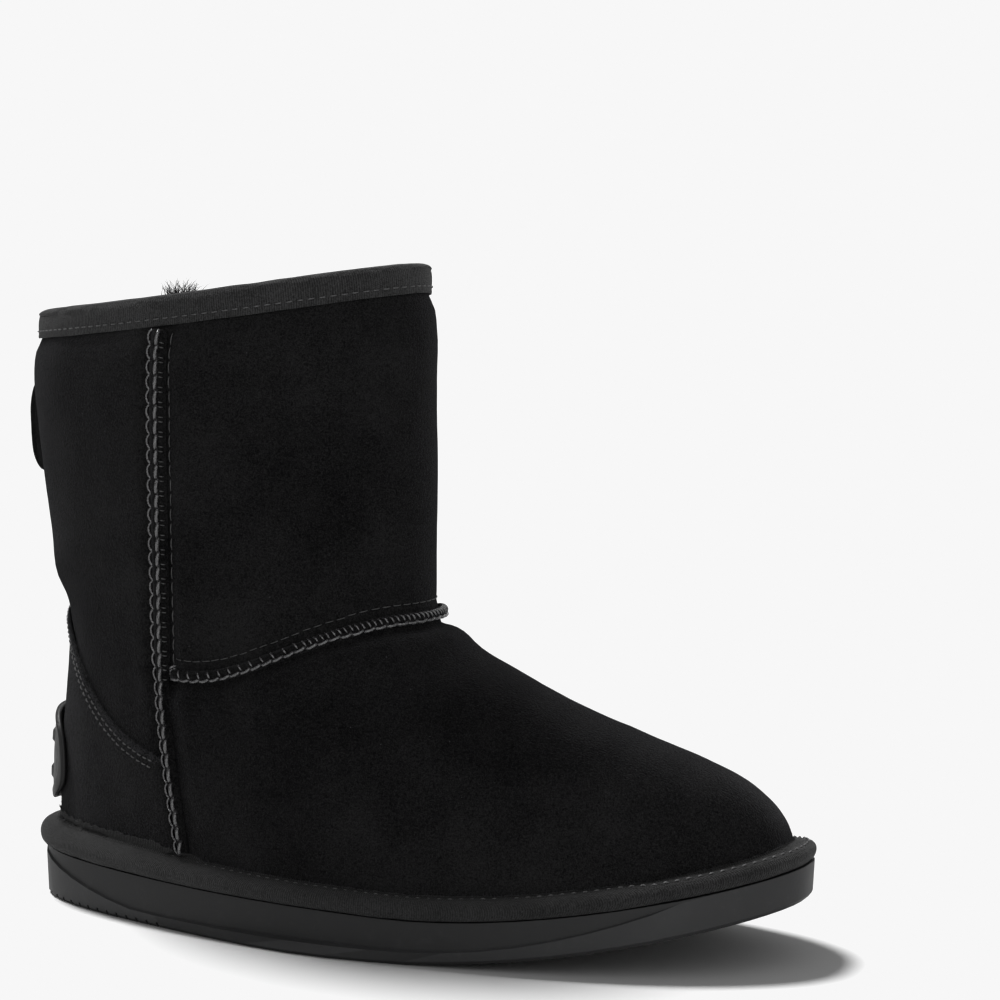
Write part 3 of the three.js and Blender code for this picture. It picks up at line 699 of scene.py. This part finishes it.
def trails():
    """The boot's sewing lines, worked out once from the frame."""
    if TRAILS:
        return TRAILS
    upper = skin_of("upper")
    lateral = Trail(level_line("lateral_side_seam", SIDE_STEPS), upper)
    medial = Trail(level_line("medial_side_seam", SIDE_STEPS)[::-1], upper)
    start, stop = span_round("vamp_seam", SHAFT_AXIS, 0.0)
    edge = math.radians(0.6)
    vamp = round_line("vamp_seam", SHAFT_AXIS, start + edge, stop - edge, VAMP_STEPS, middle_point)
    collar = ring_line("collar_binding", SHAFT_AXIS, COLLAR_STEPS, outer_foot)
    rand = ring_line("rand_binding", BOOT_MIDDLE, RAND_STEPS, outermost)
    ledge = ring_line("rand_binding", BOOT_MIDDLE, RAND_STEPS, top_point)
    ahead = Vector((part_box("heel_counter")[1].x + 5 * MM, 0, 0))
    start, stop = span_round("heel_counter", ahead, math.pi)
    edge = math.radians(2)
    counter = round_line("heel_counter", ahead, start + edge, stop - edge, VAMP_STEPS, top_point)
    TRAILS.update(
        upper=upper,
        lateral=lateral,
        medial=medial,
        vamp=Trail(vamp, upper),
        collar=Trail(collar, skin_of("collar_binding"), upper, closed=True),
        rand=Trail(rand, skin_of("rand_binding"), closed=True),
        ledge=Trail(ledge, skin_of("rand_binding"), closed=True),
        counter=Trail(top_edge(counter), skin_of("heel_counter"), upper),
    )
    return TRAILS


def wrap_map(bm, centre, trail):
    """UV map in metres: u runs round the tape along its trail, v across it."""
    layer = bm.loops.layers.uv.new("wrap")
    flat = [(p - centre).to_2d() for p in trail.points[:-1]]
    angles = [math.atan2(p.y, p.x) for p in flat]
    order = np.argsort(angles)
    known = np.array(angles)[order]
    reach = np.array(trail.reach[:-1])[order]
    for face in bm.faces:
        spots = [(loop.vert.co - centre) for loop in face.loops]
        turns = [math.atan2(s.y, s.x) for s in spots]
        crosses = max(turns) - min(turns) > math.pi
        for loop, spot, turn in zip(face.loops, spots, turns):
            u = float(np.interp(turn, known, reach))
            if crosses and turn < 0:
                u += trail.length
            loop[layer].uv = (u, loop.vert.co.z - spot.to_2d().length)


# ---- The skin ------------------------------------------------------------------------------

Crease = namedtuple("Crease", "x z side run half_length half_width depth")

# Soft troughs (negative) and ridges of the leather: where each lies, seen from the side, which
# side it is on (-1 outer, 1 inner, 0 both), the way it runs in degrees, its half length, half
# width and depth. All lengths are in millimetres.
CREASES = (
    Crease(-131, 90, 0, 0, 16, 8, -1.6),
    Crease(-131, 109, 0, 0, 16, 7, 1.2),
    Crease(-130, 50, 0, 0, 12, 13, 1.1),
    Crease(-118, 104, 0, 8, 34, 7, -1.3),
    Crease(-112, 118, 0, 12, 30, 8, 0.8),
    Crease(-30, 150, -1, 82, 42, 12, -0.8),
    Crease(-8, 165, -1, 86, 40, 8, 0.5),
    Crease(-96, 160, -1, 96, 36, 10, -0.7),
    Crease(-40, 124, 1, 70, 38, 12, -0.9),
    Crease(-90, 150, 1, 100, 36, 10, -0.7),
    Crease(12, 78, -1, 148, 34, 9, -0.8),
    Crease(34, 66, -1, 150, 30, 9, 0.5),
    Crease(10, 76, 1, 146, 32, 9, -0.9),
    Crease(52, 62, 0, 160, 26, 10, -0.7),
    Crease(-26, 60, -1, 115, 26, 9, -0.6),
    Crease(-30, 58, 1, 110, 28, 9, -0.8),
    Crease(-116, 34, -1, 96, 12, 4, -0.7),
)


def limited(value):
    """A value kept between 0 and 1."""
    return min(1.0, max(0.0, value))


def crease_depth(point):
    """How far the creases move the skin at a point, in metres."""
    total = 0.0
    for crease in CREASES:
        on_side = limited(point.y * crease.side / (12 * MM)) if crease.side else 1.0
        run = math.radians(crease.run)
        dx = point.x / MM - crease.x
        dz = point.z / MM - crease.z
        along = (dx * math.cos(run) + dz * math.sin(run)) / crease.half_length
        across = (dz * math.cos(run) - dx * math.sin(run)) / crease.half_width
        total += on_side * crease.depth * MM * math.exp(-(along**2) - across**2)
    return total


def settle(bm):
    """Moves a piece that lies on the skin with the skin's creases."""
    upper = trails()["upper"]
    for vertex in bm.verts:
        _, outward, _, _ = upper.find_nearest(vertex.co)
        vertex.co += outward * crease_depth(vertex.co)
    return bm


def bump_at(distance, centre, width):
    """A smooth hump of height 1. centre and width are in millimetres, distance in metres."""
    return math.exp(-(((distance / MM - centre) / width) ** 2))


def seam_shape(point, lines):
    """How far the seams pinch or swell the skin at a point, in metres."""
    settings = bpy.context.scene.boot_upper
    total = 0.0
    for kind, tree, trail in lines:
        _, index, distance = tree.find(point)
        if kind == "collar":
            total += collar_shape(point, trail.points[index], settings)
            continue
        if distance > SEAM_REACH:
            continue
        if kind == "side":
            total += settings.seam_trough * (0.5 * bump_at(distance, 9, 5) - bump_at(distance, 4, 1.8))
            continue
        below = point.z < trail.points[index].z
        if below:
            total -= 1.5 * settings.seam_trough * bump_at(distance, 3.4, 2)
            total += settings.vamp_puff * bump_at(distance, 10, 5.5)
        else:
            total -= 0.35 * settings.seam_trough * bump_at(distance, 4, 2)
    return total


def collar_shape(point, edge, settings):
    """How far the wall is drawn in at the tape and swells below it, in metres."""
    below = (edge.z - point.z) / MM
    drawn_in = 1 / (1 + math.exp((below - 2.4) / 1.3))
    return settings.collar_puff * bump_at(below * MM, 14, 11) - settings.collar_pinch * drawn_in


def seam_lines():
    """Each seam's kind, a search tree of its line's points, and the line."""
    lines = []
    kinds = (("side", "lateral"), ("side", "medial"), ("vamp", "vamp"), ("collar", "collar"))
    for kind, name in kinds:
        trail = trails()[name]
        tree = KDTree(len(trail.points))
        for index, point in enumerate(trail.points):
            tree.insert(point, index)
        tree.balance()
        lines.append((kind, tree, trail))
    return lines


def uneven(point, scale=70.0):
    """Soft waviness, about 0 and seldom past 1 either way."""
    return noise.noise(point * scale) + 0.5 * noise.noise(point * scale * 2.3 + Vector((5, 1, 9)))


def ripple(vertices, depth, scale=70.0):
    """Moves points in and out along their normals by a soft waviness."""
    for vertex in vertices:
        vertex.co += vertex.normal * (depth * uneven(vertex.co, scale))


def split_shell(bm):
    """Gives the outside of a hollow shell material 0, and its inside and rims material 1."""
    steep = math.radians(50)
    left = set(bm.faces)
    regions = []
    while left:
        region = [left.pop()]
        for face in region:
            for edge in face.edges:
                if edge.calc_face_angle(0) > steep:
                    continue
                fresh = [f for f in edge.link_faces if f in left]
                left.difference_update(fresh)
                region.extend(fresh)
        regions.append(region)
    regions.sort(key=lambda faces: -sum(f.calc_area() for f in faces))
    for rank, region in enumerate(regions):
        for face in region:
            face.material_index = min(rank, 1)


class BOOT_OT_upper(bpy.types.Operator):
    """Suede upper with its creases and pinched seams, and wool inside"""

    bl_idname = "boot.upper"
    bl_label = "Upper"

    def execute(self, context):
        settings = context.scene.boot_upper
        bm = merged_copy("upper")
        split_shell(bm)
        bm = subdivided(bm, settings.levels)
        bm.normal_update()
        lines = seam_lines()
        outside = {v for f in bm.faces if f.material_index == 0 for v in f.verts}
        moves = []
        for vertex in outside:
            move = crease_depth(vertex.co) + seam_shape(vertex.co, lines)
            moves.append((vertex, vertex.normal * (move + settings.unevenness * uneven(vertex.co))))
        for vertex, move in moves:
            vertex.co += move
        ripple((v for v in bm.verts if v not in outside), 0.5 * MM, 260)
        make_piece(
            "upper_suede", bm, (suede_material("suede"), wool_material()), stands_for=("upper",)
        )
        return {"FINISHED"}


class BOOT_OT_counter(bpy.types.Operator):
    """Heel counter with its two rows of stitches and its fuzzy cut edge"""

    bl_idname = "boot.counter"
    bl_label = "Heel counter"

    def execute(self, context):
        settings = context.scene.boot_upper
        thread = context.scene.boot_thread
        bm = settle(subdivided(merged_copy("heel_counter"), settings.levels))
        bm.normal_update()
        ripple(bm.verts, settings.unevenness)
        # the counter's suede is 1.25 times as light: partly dust on the counter, partly painted light where
        # the light falls on the heel side
        make_piece("counter_suede", bm, (suede_material("counter_suede", 1.25),), ("heel_counter",))
        trail = trails()["counter"]
        over = drawn_skin("counter_suede")
        rows = []
        start = 3 * MM
        for aside in (-2.4 * MM, -4.6 * MM):
            rows += trail.row(
                2.5 * MM, start, trail.length - start, aside=aside, lift=-0.12 * MM, skin=over
            )
        stitch = thread_arc(1.5 * MM, 0.4 * MM, thread.fine)
        make_piece(
            "counter_stitches", scattered(stitch, rows), (thread_material("sewing_thread", 0.55, 0.5),),
        )
        rng = np.random.default_rng(SEED)
        fuzz = []
        for _ in range(COUNTER_FIBRES):
            distance = float(rng.uniform(0, trail.length))
            aside = float(rng.normal(-0.7, 0.7)) * MM
            size = float(rng.uniform(0.5, 1.2))
            spin = float(rng.uniform(0, math.tau))
            matrix = trail.stand(distance, aside, -0.1 * MM, spin, over, size)
            fuzz.append(matrix @ Matrix.Rotation(float(rng.uniform(0.2, 1.1)), 4, "Y"))
        fibre = hair(1.5 * MM, 0.16 * MM, 1.2)
        make_piece("counter_fuzz", scattered(fibre, fuzz), (fuzz_material(),))
        return {"FINISHED"}


def fuzz_material():
    """Loose grey suede fibres."""
    g = Graph("suede_fuzz", Roughness=0.9, Specular_IOR_Level=0.1)
    return g.feed(Base_Color=g.mix(g.noise(900, 1), (0.012, 0.012, 0.013), (0.055, 0.055, 0.058)))


# ---- Seams ---------------------------------------------------------------------------------


def slimmer(full, low):
    """Distance from a side seam's line: full on the shaft, low beside the vamp."""

    def aside(point):
        share = limited((point.z / MM - SEAM_SLIM_Z) / (SEAM_FULL_Z - SEAM_SLIM_Z))
        return low + (full - low) * share

    return aside


class BOOT_OT_side_seams(bpy.types.Operator):
    """Overlocked side seams: ridge, looped edge, crest thread, cross stitches and a fine line"""

    bl_idname = "boot.side_seams"
    bl_label = "Side seams"

    def execute(self, context):
        settings = context.scene.boot_thread
        waxed = thread_material("waxed_thread")
        dull = thread_material("dull_thread", 0.45, 0.5)
        ridge_suede = suede_material("ridge_suede", 0.8)
        for name in ("lateral", "medial"):
            node = name + "_side_seam"
            ridge = name + "_ridge"
            bm = settle(subdivided(merged_copy(node), 2))
            make_piece(ridge, bm, (ridge_suede,), (node,))
            over = drawn_skin("upper_suede", "counter_suede", ridge)
            crest, cross = self.threads(trails()[name], over, settings)
            make_piece(name + "_crest_thread", crest, (waxed,))
            make_piece(name + "_cross_thread", cross, (dull,))
        return {"FINISHED"}

    def threads(self, trail, over, settings):
        """The heavy threads along the seam's back half, and the fine ones on its front half."""
        pitch = settings.seam_pitch
        crest = thread_arc(pitch * 0.99, 1.05 * MM, settings.heavy * 1.1)
        crest_rows = trail.row(
            pitch, aside=slimmer(-0.6 * MM, -0.5 * MM), lift=-0.35 * MM, slant=math.radians(-5), skin=over
        )
        loop = thread_arc(pitch * 0.98, 1.45 * MM, settings.heavy * 0.66)
        lay_down = Matrix.Rotation(math.radians(-62), 4, "X")
        loop_rows = trail.row(pitch, aside=slimmer(2.0 * MM, 1.4 * MM), lift=0.1 * MM, skin=over)
        bar = thread_arc(1.3 * MM, 0.4 * MM, settings.fine * 0.8)
        bars = []
        for shift in (-0.16, 0.16):
            start = pitch * (0.5 + shift)
            bars += trail.row(
                pitch, start, trail.length - pitch + start, aside=slimmer(-2.0 * MM, -1.6 * MM),
                lift=-0.1 * MM, slant=math.radians(80), skin=over,
            )
        line = thread_arc(pitch * 0.8, 0.4 * MM, settings.fine * 0.8)
        line_rows = trail.row(pitch, aside=slimmer(-3.6 * MM, -3.0 * MM), lift=-0.08 * MM, skin=over)
        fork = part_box("vamp_seam")[0].z
        bars, line_rows = ([m for m in rows if m.translation.z > fork] for rows in (bars, line_rows))
        heavy = joined(scattered(crest, crest_rows), scattered(loop, [m @ lay_down for m in loop_rows]))
        return heavy, joined(scattered(bar, bars), scattered(line, line_rows))


class BOOT_OT_vamp_seam(bpy.types.Operator):
    """Vamp seam: a cord wrapped by slanting stitches, with a bright lower thread"""

    bl_idname = "boot.vamp_seam"
    bl_label = "Vamp seam"

    def execute(self, context):
        settings = context.scene.boot_thread
        trail = trails()["vamp"]
        make_piece(
            "vamp_ridge", subdivided(merged_copy("vamp_seam"), 2), (suede_material("cord_suede", 0.9),),
            ("vamp_seam",),
        )
        over = drawn_skin("upper_suede", "vamp_ridge")
        pitch = settings.vamp_pitch
        lower = thread_arc(pitch * 1.02, 0.7 * MM, settings.heavy * 0.95)
        lower_rows = trail.row(pitch, aside=-1.0 * MM, lift=-0.15 * MM, slant=math.radians(7), skin=over)
        bar = thread_arc(2.6 * MM, 0.85 * MM, settings.heavy * 0.55)
        half = trail.length / 2
        spans = (
            (pitch / 2, 0.5 * half, pitch),
            (0.5 * half, 1.5 * half, pitch * 0.5),
            (1.5 * half, 2 * half - pitch / 2, pitch),
        )
        bars = []
        for start, stop, step in spans:
            bars += trail.row(
                step, start, stop, aside=0.75 * MM, lift=-0.25 * MM, slant=math.radians(112), skin=over
            )
        line = thread_arc(pitch * 0.7, 0.35 * MM, settings.fine * 0.7)
        line_rows = trail.row(pitch, aside=5.0 * MM, lift=-0.08 * MM, skin=over)
        make_piece(
            "vamp_thread", joined(scattered(lower, lower_rows), scattered(bar, bars)),
            (thread_material("vamp_waxed_thread"),),
        )
        make_piece(
            "vamp_fine_line", scattered(line, line_rows), (thread_material("vamp_fine_thread", 0.3, 0.6),),
        )
        self.knots(trail, over, settings)
        return {"FINISHED"}

    def knots(self, trail, over, settings):
        """A small coil of thread where the vamp seam meets each side seam."""
        coil = []
        for end in (0.0, trail.length):
            inward = 1 if end == 0 else -1
            for k in range(5):
                aside = (k - 2) * 0.9 * MM
                coil.append(
                    trail.stand(end - inward * 1.6 * MM, aside, -0.3 * MM, math.radians(20), over)
                )
        knot = thread_arc(4.2 * MM, 1.3 * MM, settings.heavy)
        make_piece("vamp_knots", scattered(knot, coil), (thread_material("knot_thread"),))


# ---- Tapes ---------------------------------------------------------------------------------


def tape_piece(name, node, tone, centre, trail):
    """One of the frame's tapes, smoothed, with its wrap map and ribs."""
    bm = merged_copy(node)
    wrap_map(bm, centre, trail)
    bm = subdivided(bm, bpy.context.scene.boot_tape.levels)
    bm.normal_update()
    if node == "collar_binding":
        draw_in(bm)
    ripple(bm.verts, 0.14 * MM, 110)
    return make_piece(name, bm, (tape_material(name + "_cloth", tone),), (node,))


def draw_in(bm):
    """The collar tape's outer leg is pulled in with the wall below it."""
    pinch = bpy.context.scene.boot_upper.collar_pinch
    upper = trails()["upper"]
    edge = trails()["collar"]
    for vertex in bm.verts:
        _, outward, _, _ = upper.find_nearest(vertex.co)
        away = vertex.co - SHAFT_AXIS
        if outward.dot(Vector((away.x, away.y, 0)).normalized()) < 0.3:
            continue
        above = (vertex.co.z - nearest(edge, vertex.co).z) / (9 * MM)
        vertex.co -= outward * (pinch * limited(1.25 - above))


class BOOT_OT_tapes(bpy.types.Operator):
    """Collar tape and rand tape with their stitches, the rand's frayed lip and the pull loop"""

    bl_idname = "boot.tapes"
    bl_label = "Tapes"

    def execute(self, context):
        tape = context.scene.boot_tape
        thread = context.scene.boot_thread
        lines = trails()
        tape_piece("collar_tape", "collar_binding", tape.collar, SHAFT_AXIS, lines["collar"])
        tape_piece("rand_tape", "rand_binding", tape.rand, BOOT_MIDDLE, lines["rand"])
        tape_piece("pull_strap", "pull_loop", scaled(tape.collar, 0.35), SHAFT_AXIS, lines["collar"])
        stitch = thread_arc(thread.tape_pitch * 0.52, 0.35 * MM, thread.fine)
        over = drawn_skin("collar_tape")
        collar_rows = lines["collar"].row(thread.tape_pitch, aside=2.6 * MM, lift=-0.1 * MM, skin=over)
        make_piece(
            "collar_stitches", scattered(stitch, collar_rows), (thread_material("collar_thread", 0.85, 0.5),),
        )
        stitch = thread_arc(thread.tape_pitch * 0.5, 0.4 * MM, thread.fine)
        over = drawn_skin("rand_tape")
        rand_rows = lines["ledge"].row(thread.tape_pitch, aside=0.5 * MM, lift=-0.08 * MM, skin=over)
        make_piece(
            "rand_stitches", scattered(stitch, rand_rows), (thread_material("rand_thread", 1.1, 0.5),),
        )
        self.lip(tape, lines["ledge"])
        return {"FINISHED"}

    def lip(self, tape, trail):
        """The rand's frayed inner edge, which climbs a little way up the upper."""
        over = drawn_skin("upper_suede", "counter_suede", "lateral_ridge", "medial_ridge", "rand_tape")
        bm = bmesh.new()
        bmesh.ops.create_grid(bm, x_segments=LIP_COLUMNS, y_segments=LIP_ROWS - 1, size=0.5)
        layer = bm.loops.layers.uv.new("wrap")
        tops = []
        for vertex in bm.verts:
            share = vertex.co.y + 0.5
            distance = (vertex.co.x + 0.5) * trail.length
            point, ahead = trail.at(distance)
            _, outward, _, _ = trail.base.find_nearest(point)
            wall = Vector((0, 0, 1)).cross(ahead).normalized()
            if share < 0.25:
                probe = point - wall * 0.9 * MM + Vector((0, 0, 6 * MM))
                place = over.ray_cast(probe, Vector((0, 0, -1)), 12 * MM)[0]
                vertex.co = (place or point) + Vector((0, 0, 0.1 * MM))
            else:
                rise = Vector((0, 0, lip_height(point) * (share - 0.2) / 0.8))
                probe = point + rise - wall * 6 * MM
                place = over.ray_cast(probe, wall, 16 * MM)[0]
                vertex.co = (place or point + rise) - wall * 0.4 * MM
            if share > 0.99:
                tops.append(vertex.co.copy())
        for face in bm.faces:
            for loop in face.loops:
                column = loop.vert.index % (LIP_COLUMNS + 1)
                loop[layer].uv = (column * trail.length / LIP_COLUMNS, loop.vert.co.z)
        bmesh.ops.solidify(bm, geom=bm.faces[:], thickness=0.35 * MM)
        bmesh.ops.recalc_face_normals(bm, faces=bm.faces)
        cloth = tape_material("rand_lip_cloth", scaled(tape.rand, 0.5))
        make_piece("rand_lip", bm, (cloth,))
        rng = np.random.default_rng(SEED)
        fray = []
        for place in tops:
            for _ in range(3):
                up = Vector((float(rng.normal(0, 0.8)), float(rng.normal(0, 0.8)), 1))
                along = Vector(rng.normal(size=3).tolist())
                root = place - Vector((0, 0, 0.3 * MM))
                fray.append(turned(up, along, root, float(rng.uniform(0.4, 1.1))))
        fibre = hair(1.4 * MM, 0.15 * MM, 1.0)
        make_piece("rand_fray", scattered(fibre, fray), (fuzz_material(),))


def lip_height(point):
    """Height of the rand's lip: tall round the heel, low along the vamp, and a little ragged."""
    heel = limited((-48 - point.x / MM) / 22)
    ragged = 1 + 0.35 * uneven(point, 420) + 0.2 * uneven(point, 90)
    return (0.7 + 2.6 * heel) * ragged * MM


# ---- Wool, badge, sole ---------------------------------------------------------------------


class BOOT_OT_wool(bpy.types.Operator):
    """Curled wool locks inside the shaft, the tuft above the collar and the insole's pile"""

    bl_idname = "boot.wool"
    bl_label = "Wool"

    def execute(self, context):
        settings = context.scene.boot_wool
        wool = wool_material()
        bm = subdivided(merged_copy("insole"), 3)
        bm.normal_update()
        ripple(bm.verts, 0.5 * MM, 300)
        make_piece("insole_pile", bm, (wool,), ("insole",))
        rng = np.random.default_rng(SEED)
        upper = trails()["upper"]
        edge = trails()["collar"]
        locks = []
        while len(locks) < settings.locks:
            angle = float(rng.uniform(-math.pi, math.pi))
            way = Vector((math.cos(angle), math.sin(angle), 0))
            rim = nearest(edge, SHAFT_AXIS + way * 0.06).z
            height = rim - float(rng.uniform(-0.001, 0.13))
            start = Vector((SHAFT_AXIS.x, 0, height))
            place, normal, _, _ = upper.ray_cast(start, way)
            if place is None or normal.dot(way) > 0:
                continue
            along = Vector(rng.normal(size=3).tolist())
            matrix = turned(normal, along, place - normal * 0.8 * MM, float(rng.uniform(0.6, 1.15)))
            locks.append(matrix @ Matrix.Rotation(float(rng.uniform(-0.6, 0.6)), 4, "Y"))
        lock = hair(settings.lock_length, 2.3 * MM, 2.6, sides=4, steps=5)
        make_piece("lining_locks", scattered(lock, locks), (wool,))
        self.tuft(settings, wool, rng)
        return {"FINISHED"}

    def tuft(self, settings, wool, rng):
        """Loose hairs that stand up behind the collar's outer side, at the side seam."""
        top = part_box("collar_binding")[1].z
        seam_top = trails()["lateral"].points[-1]
        hairs = []
        for _ in range(settings.tuft_hairs):
            x = seam_top.x + float(rng.normal(0.3, 2.4)) * MM
            y = seam_top.y + float(rng.uniform(11, 15)) * MM
            up = Vector((float(rng.normal(0, 0.2)), float(rng.normal(0, 0.25)), 1))
            place = Vector((x, y, top - 14 * MM))
            along = Vector(rng.normal(size=3).tolist())
            hairs.append(turned(up, along, place, float(rng.uniform(0.55, 0.95))))
        strand = hair(11.5 * MM, 0.5 * MM, 0.9, 3, 5)
        make_piece("collar_tuft", scattered(strand, hairs), (wool,))


class BOOT_OT_badge(bpy.types.Operator):
    """Oval heel badge: a plain rubber patch with a raised rim and two plain bars"""

    bl_idname = "boot.badge"
    bl_label = "Heel badge"

    def execute(self, context):
        bm = subdivided(merged_copy("heel_badge"), 4)
        bm.normal_update()
        low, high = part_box("heel_badge")
        centre = (low + high) / 2
        moves = []
        for vertex in bm.verts:
            if vertex.normal.x > -0.25:
                continue
            y = (vertex.co.y - centre.y) / (high.y - low.y) * 2
            z = (vertex.co.z - centre.z) / (high.z - low.z) * 2
            moves.append((vertex, vertex.normal * self.relief(y, z) * MM))
        for vertex, move in moves:
            vertex.co += move
        make_piece("badge_patch", settle(bm), (rubber_material(),), ("heel_badge",))
        return {"FINISHED"}

    def relief(self, y, z):
        """Height of rim and bars at a place that runs from -1 to 1 each way, in millimetres."""
        from_edge = 1 - (abs(y) ** 2.6 + abs(z) ** 2.6) ** (1 / 2.6)
        rim = soft_step(0.13, 0.08, from_edge)
        bars = 0.0
        for place in (-0.38, 0.38):
            bars += soft_step(0.15, 0.08, abs(z - place)) * soft_step(0.68, 0.56, abs(y))
        return 0.45 * rim + 0.75 * bars


def soft_step(off, on, value):
    """1 at `on`, 0 at `off`, and a smooth way between."""
    share = limited((value - off) / (on - off))
    return share * share * (3 - 2 * share)


class BOOT_OT_outsole(bpy.types.Operator):
    """Moulded foam outsole"""

    bl_idname = "boot.outsole"
    bl_label = "Outsole"

    def execute(self, context):
        sharp = context.scene.boot_sole.sharp_angle
        bm = merged_copy("outsole", quads=False)
        self.mark_scoop(bm)
        # the scoop's foam is the band's at 0.6: painted shade in the sunk side wall
        foams = (foam_material("foam_band", 1.0), foam_material("foam_scoop", 0.6))
        make_piece("outsole_foam", bm, foams, ("outsole",), sharp)
        return {"FINISHED"}

    def mark_scoop(self, bm):
        """Gives the sunk upper part of the side wall, which ends at the top's rim, the darker foam copy:
        painted shade in the recess.
        """
        bm.normal_update()
        rim = {v for f in bm.faces if f.normal.z > 0.93 for v in f.verts}
        for face in bm.faces:
            if abs(face.normal.z) < 0.35 and any(v in rim for v in face.verts):
                face.material_index = 1


# ---- Stage ---------------------------------------------------------------------------------


def soft_sun(name, way, strength, spread_angle, spared=None):
    """A broad soft light that shines along a direction. What is in `spared` doesn't get it."""
    data = bpy.data.lights.new(name, "SUN")
    data.energy = strength
    data.angle = spread_angle
    light = bpy.data.objects.new(name, data)
    light.rotation_euler = Vector(way).to_track_quat("-Z", "Y").to_euler()
    bpy.context.scene.collection.objects.link(light)
    light.light_linking.receiver_collection = spared


class BOOT_OT_stage(bpy.types.Operator):
    """Pale floor, soft lights and the camera"""

    bl_idname = "boot.stage"
    bl_label = "Stage"

    def execute(self, context):
        settings = context.scene.boot_stage
        scene = context.scene
        scene.view_settings.view_transform = "Standard"
        self.hold_white(scene.view_settings, settings.white)
        bm = bmesh.new()
        bmesh.ops.create_circle(bm, cap_ends=True, segments=96, radius=40.0)
        mesh = bpy.data.meshes.new("floor")
        bm.to_mesh(mesh)
        bm.free()
        mesh.materials.append(floor_material(settings.floor))
        floor = bpy.data.objects.new("floor", mesh)
        scene.collection.objects.link(floor)
        spared = bpy.data.collections.new("spared_by_fill")
        spared.objects.link(floor)
        spared.collection_objects[0].light_linking.link_state = "EXCLUDE"
        for name, way, spread_angle, on_floor in SUNS:
            strength = getattr(settings, name)
            soft_sun(name + "_light", way, strength, math.radians(spread_angle), None if on_floor else spared)
        self.backdrop(scene, settings)
        self.camera(scene, settings)
        return {"FINISHED"}

    def backdrop(self, scene, settings):
        """Plain surroundings: white to look at, and a dimmer light from all round."""
        scene.world = scene.world or bpy.data.worlds.new("surroundings")
        scene.world.use_nodes = True
        nodes = scene.world.node_tree.nodes
        links = scene.world.node_tree.links
        place = nodes.new("ShaderNodeTexCoord")
        split = nodes.new("ShaderNodeSeparateXYZ")
        fade = nodes.new("ShaderNodeMapRange")
        fade.interpolation_type = "SMOOTHSTEP"
        fade.inputs["From Min"].default_value = ROOM_BAND[0]
        fade.inputs["From Max"].default_value = ROOM_BAND[1]
        fade.inputs["To Min"].default_value = settings.horizon
        fade.inputs["To Max"].default_value = settings.overhead
        links.new(place.outputs["Generated"], split.inputs[0])
        links.new(split.outputs["Z"], fade.inputs["Value"])
        seen = nodes.new("ShaderNodeLightPath")
        choice = nodes.new("ShaderNodeMix")
        choice.inputs["B"].default_value = settings.backdrop
        links.new(seen.outputs["Is Camera Ray"], choice.inputs["Factor"])
        links.new(fade.outputs[0], choice.inputs["A"])
        sky = nodes["Background"]
        sky.inputs["Color"].default_value = (1, 1, 1, 1)
        links.new(choice.outputs[0], sky.inputs["Strength"])

    def hold_white(self, view, white):
        """Keeps the brightest parts just under full white."""
        view.use_curve_mapping = True
        curve = view.curve_mapping.curves[3]
        curve.points[0].location = (0, 0)
        curve.points[1].location = (1, white)
        for point in curve.points:
            point.handle_type = "VECTOR"
        view.curve_mapping.extend = "HORIZONTAL"
        view.curve_mapping.update()

    def camera(self, scene, settings):
        """Stands the camera at collar height on the outer side, some way round to the toe."""
        back = Vector((math.sin(settings.azimuth), -math.cos(settings.azimuth), 0))
        right = Vector((math.cos(settings.azimuth), math.sin(settings.azimuth), 0))
        data = bpy.data.cameras.new("camera")
        data.lens = settings.lens
        data.sensor_width = 36
        camera = bpy.data.objects.new("camera", data)
        camera.location = CAMERA_PIVOT + back * settings.distance + Vector((0, 0, settings.height))
        aim = CAMERA_PIVOT + right * settings.aim_side + Vector((0, 0, settings.aim_height))
        camera.rotation_euler = (aim - camera.location).to_track_quat("-Z", "Y").to_euler()
        scene.collection.objects.link(camera)
        scene.camera = camera


class BOOT_PT_panel(bpy.types.Panel):
    """Lists the boot's steps and settings"""

    bl_label = "Sheepskin boot"
    bl_idname = "BOOT_PT_panel"
    bl_space_type = "VIEW_3D"
    bl_region_type = "UI"
    bl_category = "Boot"

    def draw(self, context):
        for operator in OPERATORS:
            self.layout.operator(operator.bl_idname)
        for name, group in SETTINGS.items():
            box = self.layout.box()
            box.label(text=name.replace("boot_", "").capitalize())
            for key in group.__annotations__:
                box.prop(getattr(context.scene, name), key)


SETTINGS = {
    "boot_upper": UpperSettings,
    "boot_wool": WoolSettings,
    "boot_thread": ThreadSettings,
    "boot_tape": TapeSettings,
    "boot_sole": SoleSettings,
    "boot_stage": StageSettings,
}
OPERATORS = (
    BOOT_OT_stage,
    BOOT_OT_outsole,
    BOOT_OT_upper,
    BOOT_OT_counter,
    BOOT_OT_side_seams,
    BOOT_OT_vamp_seam,
    BOOT_OT_tapes,
    BOOT_OT_badge,
    BOOT_OT_wool,
)


def register():
    for name, group in SETTINGS.items():
        bpy.utils.register_class(group)
        setattr(bpy.types.Scene, name, PointerProperty(type=group))
    for cls in (*OPERATORS, BOOT_PT_panel):
        bpy.utils.register_class(cls)


def unregister():
    for cls in reversed((*OPERATORS, BOOT_PT_panel)):
        bpy.utils.unregister_class(cls)
    for name, group in SETTINGS.items():
        delattr(bpy.types.Scene, name)
        bpy.utils.unregister_class(group)


def main():
    register()
    bpy.ops.boot.stage()
    bpy.ops.boot.outsole()
    bpy.ops.boot.upper()
    bpy.ops.boot.counter()
    bpy.ops.boot.side_seams()
    bpy.ops.boot.vamp_seam()
    bpy.ops.boot.tapes()
    bpy.ops.boot.badge()
    bpy.ops.boot.wool()


if __name__ == "__main__":
    main()
